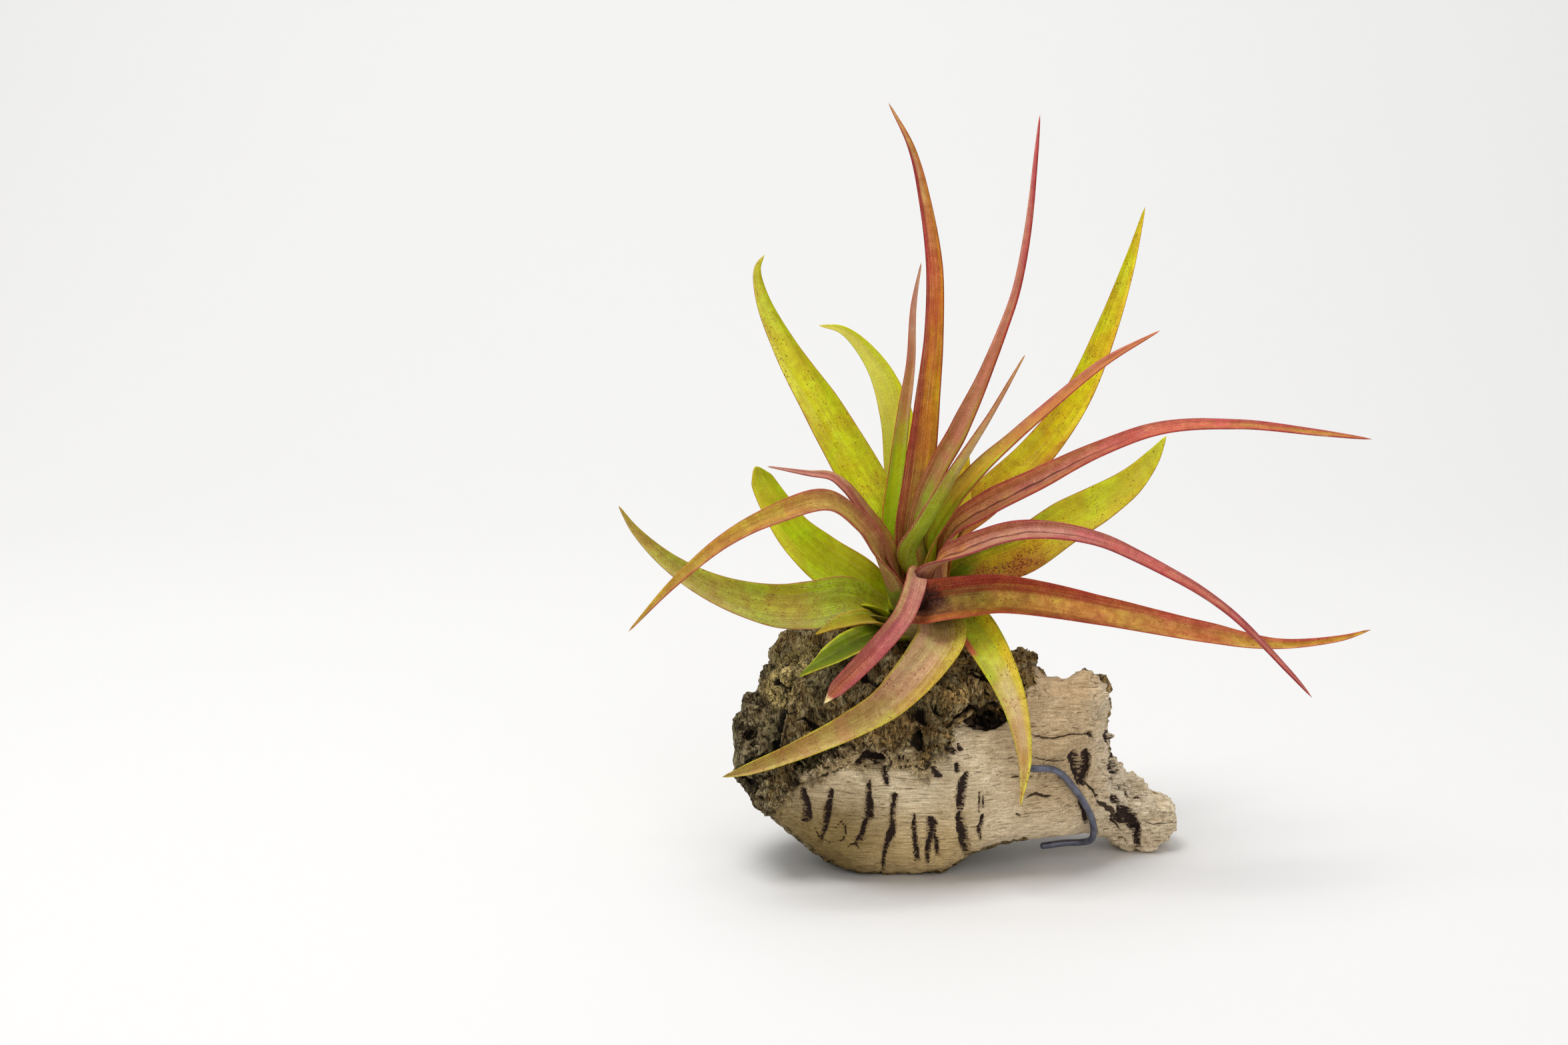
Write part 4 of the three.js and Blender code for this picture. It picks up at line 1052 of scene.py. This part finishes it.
def split_relief(point, across, above, chunky, drift, wrinkles, crumbs):
    """The split face's relief, and how ragged it is near its border to the bark.

    It is low plates, which are a noise cut into steps, with streaks along X and chips. Its right end
    breaks into chunks, and its left belly is worn.
    """
    plates = field(point, (19.0, 8.0, 5.5), 4.0, 3, 0.55) * 3.4
    streak = field(point, (7.0, 0.8, 0.8), 40.0, 3, 0.6)
    chip = smooth(0.5, 0.8, field(point, (3.4, 1.8, 1.8), 60.0, 3, 0.6))
    relief = 0.24 * (terraces(plates, 0.86) - plates.max() * 0.4) + 0.16 * streak - 0.45 * chip - 0.1
    chunks = terraces(field(point, (4.2, 5.0, 3.4), 80.0) * 2.2, 0.75)
    relief = relief + chunky * (1.3 * chunks + 0.5 * crumbs)
    worn = smooth(*WORN_ACROSS, across) * smooth(*WORN_BELOW, above)
    relief = relief + worn * (0.5 * wrinkles + 0.5 * crumbs - 0.3)
    border = smooth(*BORDER_BELOW, above + 1.5 * drift) * smooth(*BORDER_ACROSS, across)
    ragged = border * smooth(-0.45, 0.1, field(point, (5.0, 5.0, 3.0), 120.0, 3, 0.6))
    return relief + ragged * (0.9 * wrinkles + 0.9 * crumbs + 0.3), ragged


def slot_marks(point, across, up, facing):
    """The dark slots: how much each place is in one, and how deep it is sunk."""
    slot = np.zeros(across.shape)
    sink = np.zeros(across.shape)
    wobble = 0.30 * field(point, (1.1, 1.1, 2.6), 90.0, 3, 0.6)
    for ax, az, aw, bx, bz, bw, deep in CORK_SLOTS:
        far, run = to_lines(across, up, ((ax, az), (bx, bz)))
        inner = (1.0 - 0.5 * far / between(aw, bw, run)) * facing
        slot = np.maximum(slot, np.clip(inner, 0.0, 1.0))
        sink = np.maximum(sink, deep * smooth(0.38, 0.68, inner + wobble))
    return slot, sink


def crack_marks(across, up, toward):
    """The thin cracks: how much each place is in one, and how deep it is sunk."""
    line = np.zeros(across.shape)
    sink = np.zeros(across.shape)
    for lines, wide, deep in CORK_CRACKS:
        far, run = to_lines(across, up, lines)
        thin = wide * (0.35 + 0.65 * np.sin(np.pi * np.clip(run, 0.02, 0.98)))
        mark = (1.0 - smooth(0.5 * thin, 1.7 * thin, far)) * toward
        line = np.maximum(line, mark)
        sink = np.maximum(sink, deep * mark)
    return line, sink


def hollow_marks(across, up, drift, facing):
    """The hollow under the bark's ledge: how much each place is in it, and how deep it is sunk."""
    inside = within(across + 0.8 * drift, up + 0.8 * drift, CORK_HOLLOW)
    ledge = np.zeros(across.shape)
    for lines in CORK_LEDGES:
        far, _ = to_lines(across + 0.4 * drift, up + 0.4 * drift, lines)
        ledge = np.maximum(ledge, 1.0 - smooth(0.6 * CORK_LEDGE_HALF, 1.6 * CORK_LEDGE_HALF, far))
    hollow = smooth(-0.7, 0.7, inside) * facing * (1.0 - 0.75 * ledge)
    return hollow, 2.2 * smooth(-0.3, 1.3, inside) * facing * (1.0 - 0.7 * ledge)


def cork_mesh(name, settings):
    """The cork bark: the construction's surface with bark, cracks, plates, streaks and slots on it.

    The relief is added along the surface's own outward direction. Slots, cracks and the hollow are
    sunk where the front view shows them.
    """
    along = np.linspace(0.0, 1.0, CORK_ALONG)
    turn = circle(CORK_AROUND)
    point, facing, calm = cork_base(along, turn + CORK_FRONT_BIAS * np.sin(turn))
    across, up = shown(point)

    x, y = point[..., 0], point[..., 1]
    torn = x + 2.6 * field(point, 5.0, 150.0, 3, 0.6) * (1.0 - facing)
    broken = np.maximum(smooth(*TORN_END, torn), smooth(*TORN_BACK, torn) * smooth(*TORN_DEPTH, y))
    split = np.maximum(facing, 0.95 * broken)
    drift = field(np.stack([across, up, 0 * up], axis=-1), 4.2, 0.0, 3, 0.6)
    above = up - np.interp(across, *BARK_LINE.T) + 2.1 * drift
    front_bark = smooth(-0.45, 0.55, above)
    chunky = smooth(*CHUNKY_END, x) * (1.0 - front_bark)
    smooth_front = split * (1.0 - front_bark)
    point = point - BACKWARD * (facing * BARK_STEP * front_bark)[..., None]
    ring = np.roll(point, -1, axis=1) - np.roll(point, 1, axis=1)
    normal = unit(np.cross(ring, np.gradient(point, axis=0)))
    middle = point.mean(axis=1, keepdims=True)
    normal = normal * np.sign(np.sum(normal * (point - middle), axis=-1, keepdims=True))
    toward = smooth(0.0, 0.3, -(normal @ SIGHT))

    warped = moved(point, 3.4, 1.6, (3.3, 7.7, 11.1))
    crumbs = field(warped, 2.6, 0.0, 4, 0.62)
    wrinkles = 1.0 - 3.0 * np.abs(field(moved(point, 1.9, 1.3, (1.1, 4.4, 8.8)), 1.7, 50.0))
    far, _ = to_lines(across, up, CORK_CRUST)
    crust = 1.0 - smooth(CORK_CRUST_HALF - 1.2, CORK_CRUST_HALF + 0.8, far + 1.5 * drift)
    on_bark, cavity, ridges = bark_relief(point, warped, crust, wrinkles, crumbs)
    on_front, ragged = split_relief(point, across, above, chunky, drift, wrinkles, crumbs)
    slot, slot_sink = slot_marks(point, across, up, facing)
    line, line_sink = crack_marks(across + 0.5 * drift, up + 0.4 * ridges, toward)
    hollow, hollow_sink = hollow_marks(across, up, drift, facing)
    sink = np.maximum(np.maximum(slot_sink, line_sink), hollow_sink)
    # The strip just under the bark's step on the front: sunk a little, and added to the crack mark,
    # which paints it dark as the step's shadow.
    under = np.exp(-((above + 0.7) / 0.75) ** 2) * facing
    under = under * smooth(-0.35, 0.25, lattice(point / 5.0 + 70.0))

    height = ((1.0 - smooth_front) * on_bark + smooth_front * on_front) * (1.0 - 0.6 * hollow)
    height = height + hollow * 0.9 * field(warped, (4.0, 4.0, 1.6), 0.0, 3, 0.6)
    height = height * (0.35 + 0.65 * calm) * settings.relief - sink * settings.slot_depth - 0.5 * under
    point = point + normal * height[..., None]
    point[..., 2] = np.maximum(point[..., 2], 0.0)
    values = {
        "bark": np.clip(0.5 + above / 8.0, 0.0, 1.0) * split + (1.0 - split),
        "slot": slot,
        # The cracks, and the strip under the bark's step, which are painted dark as shade.
        "crack": np.clip(line + 0.8 * under * smooth_front, 0.0, 1.0),
        "cavity": cavity,
        "crust": crust,
        "ragged": ragged * facing,
        "hollow": hollow,
    }
    return tube_mesh(name, point * MM, np.stack([across, up], axis=-1) * MM, values, turned=True)


# The noises of the cork's colours: scale per metre along each axis, detail, roughness, distortion.
CORK_NOISES = {
    "streak": ((170, 900, 1900), 5, 0.66, 0.35),
    "line": ((95, 700, 2600), 3, 0.6, 0.5),
    "grain": (2300, 4, 0.7),
    "cloud": (75, 4, 0.6, 0.5),
    "blotch": ((160, 300, 330), 4, 0.6, 0.6),
    "pores": ((900, 1600, 1900), 3, 0.6),
    "crumb": (560, 6, 0.7, 0.4),
    "dash": ((260, 900, 5200), 2, 0.5),
    "furrow": ((1500, 1500, 340), 4, 0.65, 0.4),
    "slab": ((150, 150, 110), 3, 0.6, 1.2),
    "wavy": ((520, 520, 190), 4, 0.6, 1.1),
    "worm": ((700, 700, 520), 2, 0.5, 2.2),
}
# The numbers that its mesh holds for each point.
CORK_MARKS = ("bark", "slot", "crack", "cavity", "crust", "ragged", "hollow")


def cork_values(tree):
    """What the cork's looks are made from, by name: noises, marks of the mesh, and places.

    across and up are places in the front view, in metres. groove, crest and curl are the grooves,
    painted dark as shade, the crests between them, painted light as highlights, and the fine curls.
    """
    place = object_place(tree)
    surface = surface_place(tree)
    n = SimpleNamespace(**{label: noise(place, *row) for label, row in CORK_NOISES.items()},
                        **{label: value_of(tree, label) for label in CORK_MARKS})
    n.across, n.up = part_of(surface, "X"), part_of(surface, "Y")
    ripple = abs(n.wavy - 0.5)
    n.groove = rise(ripple, 0.036, 0.008)
    n.crest = rise(ripple, 0.05, 0.13)
    n.curl = rise(abs(n.worm - 0.5), 0.05, 0.012)
    return n


def split_cork(n, tint):
    """The colour of the split face: pale, with painted shade on its belly at the left and in the
    cavities of its ragged border, streaked and pored.
    """
    low = rise(n.up, 0.020, 0.004)
    # The belly mark is painted shade: it darkens the lower left of the split face to olive brown.
    belly = rise(n.across, 0.002, -0.016) * rise(n.up, 0.024, 0.010)
    pale = cover(mix(rise(n.across, 0.018, 0.036), "#F0DEBC", "#E4CCA6"),
                 (rise(n.across, 0.046, 0.056), "#FFF2D8"),
                 (low * rise(n.across, 0.030, 0.012), "#D8BE8C"),
                 (low * rise(n.across, 0.016, 0.030), "#FAE8C8"),
                 (belly * 0.85, "#87723F"))
    pale = mix(1.0, pale, (*tint, 1.0), "MULTIPLY")
    pale = tone(pale, n.streak, 0.30, 0.66, (0.74, 0.69, 0.62), (1.16, 1.16, 1.17))
    pale = tone(pale, n.cloud, 0.35, 0.65, (0.88, 0.85, 0.80), (1.10, 1.10, 1.11))
    pale = tone(pale, n.grain, 0.30, 0.70, (0.82, 0.80, 0.76), (1.16, 1.16, 1.16))
    return cover(pale, (rise(n.line, 0.385, 0.335, 0.0, 0.8), "#7C5C3C"),
                 (rise(n.dash, 0.36, 0.30, 0.0, 0.7), "#8A6C4A"),
                 (rise(n.pores, 0.66, 0.74, 0.0, 0.75), "#5E4630"),
                 (rise(n.blotch, 0.60, 0.72, 0.0, 0.45), "#B49A6C"),
                 (n.ragged * 0.75, "#D4B67E"),
                 (n.curl * n.ragged * 0.7, "#5A4224"),
                 # Painted shade in the cavities of the ragged border.
                 (rise(n.cavity, 0.38, 0.24) * n.ragged * 0.9, "#34240F"))


def outer_bark(n, tint):
    """The colour of the outer bark: darker at its left, with painted highlights on its crests and open
    places and painted shade in its cavities and grooves.
    """
    bark = cover(mix(rise(n.across, -0.020, 0.000), "#92794C", (*tint, 1.0)),
                 (rise(n.across, -0.030, -0.038), "#685A40"),
                 (rise(n.cloud, 0.46, 0.62, 0.0, 0.6), "#747252"))
    bark = tone(bark, n.slab, 0.42, 0.58, (0.70, 0.66, 0.60), (1.30, 1.29, 1.26))
    bark = tone(bark, n.crumb, 0.34, 0.64, (0.52, 0.48, 0.42), (1.42, 1.42, 1.40))
    bark = tone(bark, n.furrow, 0.38, 0.60, (0.56, 0.52, 0.46), (1.42, 1.41, 1.38))
    return cover(bark, (rise(n.blotch, 0.56, 0.66, 0.0, 0.6), "#B8A678"),
                 # Painted highlight on the crests between the grooves.
                 (n.crest * 0.45, "#B4A47A"),
                 (n.crust * 0.92, "#F0D488"),
                 # Painted highlight on the open high places, and painted shade deep in the cavities.
                 (rise(n.cavity, 0.56, 0.78, 0.0, 0.75), "#C8B68A"),
                 (rise(n.cavity, 0.36, 0.18), "#1E160E"),
                 # Painted shade in the grooves.
                 (n.groove * 0.85, "#21180F"),
                 (n.curl * n.crust * 0.85, "#32240F"))


def cork_material(settings):
    """Cork bark: pale streaked cork where it is split, dark crumbling bark outside, black slots."""
    material, tree = new_material("Cork bark")
    n = cork_values(tree)
    on_bark = rise(n.bark + rise(n.crumb, 0.25, 0.75, -0.07, 0.07), 0.46, 0.54)
    base = mix(on_bark, split_cork(n, settings.pale), outer_bark(n, settings.bark))
    # Painted shade in the hollow under the bark's ledge: near black, lighter on crumbs.
    hollow_shade = mix(rise(n.crumb, 0.42, 0.68), "#20140E", "#6E563C")
    soot = mix(rise(n.grain, 0.35, 0.7), "#1E1214", "#4A3630")
    # Painted shade in the cracks and under the bark's step: dark brown on the split face, near black on
    # the bark.
    crack_shade = mix(on_bark, "#3A281A", "#120C08")
    fray = rise(n.streak, 0.25, 0.75, -0.34, 0.30)
    black = n.slot + (fray + rise(n.pores, 0.25, 0.75, -0.16, 0.14))
    thin = n.crack + rise(n.grain, 0.3, 0.7, -0.2, 0.1)
    base = cover(base, (rise(n.hollow, 0.35, 0.75), hollow_shade),
                 (rise(black, 0.36, 0.48, 0.0, 0.5), "#7A5B42"),
                 (rise(black, 0.50, 0.60, 0.0, 0.97), soot),
                 (rise(thin, 0.3, 0.7, 0.0, 0.94), crack_shade))
    lined = n.streak * 0.9 + rise(n.line, 0.335, 0.40, -0.35, 0.0)
    carved = on_bark * (n.furrow * 1.4 + n.crumb) + n.grain * 0.35
    cut = n.groove * on_bark + n.curl * math_node("MAXIMUM", n.crust, n.ragged)
    feed_surface(tree, {
        "Base Color": base, "Roughness": rise(n.grain, 0.3, 0.7, 0.82, 0.95), "Specular IOR Level": 0.2,
    }, lined + carved - cut * 1.1, 0.9, 0.0009)
    return material


class CorkSettings(PropertyGroup):
    """Relief and colours of the cork bark."""

    relief: number_setting("Relief", "How strongly the bark stands out", 1.0, max=1.5)
    slot_depth: number_setting(
        "Slot depth", "How deep the dark slots are, as a share of their own depth", 1.0, max=1.5)
    pale: colour_setting("Pale tint", "Tint over the colours of the split cork", (1.0, 1.0, 1.0))
    bark: colour_setting("Bark", "Colour of the outer bark", colour("#B8965E")[:3])


class AIRPLANT_OT_cork(Operator):
    """Make the piece of cork bark"""

    bl_idname = "airplant.cork"
    bl_label = "Cork bark"

    def execute(self, context):
        settings = context.scene.airplant_cork
        mesh = cork_mesh("cork_bark_skin", settings)
        place_piece("cork_bark_skin", mesh, cork_material(settings), "cork_bark", slot="cork")
        return {"FINISHED"}


# Wire

def wire_mesh(name, radius):
    """The wire: a circle carried along its route, with slight kinks and ends that round off."""
    share = np.linspace(0.0, 1.0, WIRE_RINGS)
    centre, along, _, length = along_spline(WIRE_ROUTE, share)
    side = unit(np.cross(along, np.array([0.0, 1.0, 0.35])))
    other = np.cross(along, side)
    angle = circle(WIRE_SIDES)
    run = np.stack([share * length / 5.0, share * 0, share * 0], axis=1)
    kink = 0.06 * np.stack([lattice(run + k * ACROSS) for k in (2.0, 8.0, 14.0)], axis=1)
    from_end = np.minimum(np.minimum(share, 1 - share) * length / 0.35, 1.0)
    thick = radius / MM * np.sqrt(np.clip(1.0 - (1.0 - from_end) ** 2 * 0.6, 0.0, 1.0))
    ring = np.cos(angle)[:, None] * side[:, None, :] + np.sin(angle)[:, None] * other[:, None, :]
    grid = ((centre + kink)[:, None, :] + ring * thick[:, None, None]) * MM
    uv = np.stack(np.broadcast_arrays((share * length * MM)[:, None], angle * radius), axis=-1)
    return tube_mesh(name, grid, uv)


def wire_material():
    """Dull blue-grey metal, drawn along its length, with worn and tarnished places."""
    material, tree = new_material("Wire metal")
    drawn = noise(surface_place(tree), (120, 5200, 1), 3, 0.6)
    tarnish = noise(object_place(tree), 420, 4, 0.6, 0.3)
    base = cover(mix(rise(tarnish, 0.35, 0.7), "#4A4C5A", "#74778A"),
                 (rise(drawn, 0.35, 0.7, 0.0, 0.4), "#9A9CAA"))
    feed_surface(tree, {
        "Base Color": base, "Metallic": 0.75, "Roughness": rise(tarnish, 0.3, 0.7, 0.36, 0.6),
    }, drawn, 0.4, 0.00008)
    return material


class WireSettings(PropertyGroup):
    """Size of the wire."""

    radius: length_setting("Radius", "Radius of the wire", 0.00085, 0.0002)


class AIRPLANT_OT_wire(Operator):
    """Make the wire that holds the plant on the cork"""

    bl_idname = "airplant.wire"
    bl_label = "Wire"

    def execute(self, context):
        mesh = wire_mesh("wire_drawn", context.scene.airplant_wire.radius)
        place_piece("wire_drawn", mesh, wire_material(), "wire", slot="wire")
        return {"FINISHED"}


# Stage

# The floor and backdrop in metres: half width, front, back, height and the radius of the bend.
SWEEP = (3.0, -2.5, 1.1, 2.4, 0.7)
# The lights: place, what it is turned to, size, setting of its power and colour.
LIGHT_AIM = (0.01, 0.0, 0.08)
LIGHTS = {
    "Key": ((-0.30, -0.20, 1.15), LIGHT_AIM, 0.55, "key", (1.0, 0.985, 0.96)),
    "Fill": ((0.35, -1.15, 0.65), LIGHT_AIM, 0.8, "fill", (0.98, 0.99, 1.0)),
    "Wall": ((0.0, 0.35, 1.3), (0.0, 1.1, 0.55), 0.9, "wall", (1.0, 1.0, 1.0)),
}


def stand(name, data):
    """A new object of the scene."""
    thing = bpy.data.objects.new(name, data)
    bpy.context.scene.collection.objects.link(thing)
    return thing


def turn_to(thing, direction):
    """Turn a light or camera so that it looks that way."""
    thing.rotation_euler = Vector(direction).to_track_quat("-Z", "Y").to_euler()


def sweep_mesh(name, width, front, back, height, bend):
    """The floor and backdrop in one sheet: level, then up along a quarter circle, then upright."""
    angle = np.linspace(0.0, np.pi / 2, 24)
    y = np.concatenate([[front], back - bend + bend * np.sin(angle), [back]])
    z = np.concatenate([[0.0], bend - bend * np.cos(angle), [height]])
    x = np.array([-width, width])
    grid = np.stack(np.broadcast_arrays(x[None, :], y[:, None], z[:, None]), axis=-1)
    i = np.arange(len(y) - 1) * 2
    faces = np.stack([i, i + 1, i + 3, i + 2], axis=1)
    mesh = bpy.data.meshes.new(name)
    mesh.from_pydata(grid.reshape(-1, 3).tolist(), [], faces.tolist())
    mesh.polygons.foreach_set("use_smooth", np.ones(len(mesh.polygons), dtype=bool))
    mesh.update()
    return mesh


def area_light(name, place, aim, size, power, tint):
    """A square soft light at a place, turned to what it lights."""
    light = bpy.data.lights.new(name, "AREA")
    light.shape = "SQUARE"
    light.size = size
    light.energy = power
    light.color = tint
    lamp = stand(name, light)
    lamp.location = place
    turn_to(lamp, Vector(aim) - Vector(place))


class StageSettings(PropertyGroup):
    """The floor, the lights and the camera."""

    floor_colour: colour_setting("Floor colour", "Colour of the plain floor and backdrop",
                                 (0.78, 0.78, 0.78))
    sky: number_setting("Sky", "Strength of the light from all round", 0.40)
    key: power_setting("Key light", "Power of the large soft light overhead", 9.4)
    fill: power_setting("Fill light", "Power of the soft light from the front", 3.6)
    wall: power_setting("Wall light", "Power of the light on the backdrop", 5.2)
    lens: number_setting("Lens", "Focal length of the camera in millimetres", 80.0, 20.0)


class AIRPLANT_OT_stage(Operator):
    """Make the plain floor, the soft lights and the camera"""

    bl_idname = "airplant.stage"
    bl_label = "Stage"

    def execute(self, context):
        settings = context.scene.airplant_stage
        scene = context.scene
        floor = stand("Floor", sweep_mesh("Floor", *SWEEP))
        paper, tree = new_material("Stage paper")
        feed_surface(tree, {
            "Base Color": (*settings.floor_colour, 1.0), "Roughness": 0.7, "Specular IOR Level": 0.2})
        floor.data.materials.append(paper)

        world = bpy.data.worlds.new("Soft white")
        scene.world = world
        world.use_nodes = True
        feed(world.node_tree, world.node_tree.nodes["Background"], {
            "Color": (1.0, 1.0, 1.0, 1.0), "Strength": settings.sky})
        for name, (place, aim, size, power, tint) in LIGHTS.items():
            area_light(name, place, aim, size, getattr(settings, power), tint)

        camera = bpy.data.cameras.new("Camera")
        camera.lens = settings.lens
        camera.sensor_width = 36.0
        camera.clip_start = 0.05
        camera.clip_end = 20.0
        holder = stand("Camera", camera)
        holder.location = EYE * MM
        turn_to(holder, SIGHT)
        scene.camera = holder
        scene.view_settings.view_transform = "Standard"
        return {"FINISHED"}


class AIRPLANT_PT_panel(Panel):
    """The air plant's pieces and their sizes"""

    bl_idname = "AIRPLANT_PT_panel"
    bl_label = "Air plant"
    bl_space_type = "VIEW_3D"
    bl_region_type = "UI"
    bl_category = "Air plant"

    def draw(self, context):
        for operator, name in BOXES:
            box = self.layout.box()
            box.operator(operator.bl_idname)
            if name:
                settings = getattr(context.scene, name)
                for label in settings.__annotations__:
                    box.prop(settings, label)


SETTINGS = {
    "airplant_leaves": LeafSettings,
    "airplant_cork": CorkSettings,
    "airplant_wire": WireSettings,
    "airplant_stage": StageSettings,
}
# The boxes of the panel: an operator, and the name of its settings if it has some.
BOXES = (
    (AIRPLANT_OT_leaves, "airplant_leaves"), (AIRPLANT_OT_stem, None),
    (AIRPLANT_OT_cork, "airplant_cork"), (AIRPLANT_OT_wire, "airplant_wire"),
    (AIRPLANT_OT_stage, "airplant_stage"),
)
CLASSES = (*SETTINGS.values(), *[operator for operator, _ in BOXES], AIRPLANT_PT_panel)


def register():
    for cls in CLASSES:
        bpy.utils.register_class(cls)
    for name, cls in SETTINGS.items():
        setattr(bpy.types.Scene, name, PointerProperty(type=cls))


def unregister():
    for name in SETTINGS:
        delattr(bpy.types.Scene, name)
    for cls in reversed(CLASSES):
        bpy.utils.unregister_class(cls)


def main():
    register()
    bpy.ops.airplant.stage()
    bpy.ops.airplant.cork()
    bpy.ops.airplant.wire()
    bpy.ops.airplant.stem()
    bpy.ops.airplant.leaves()


if __name__ == "__main__":
    main()
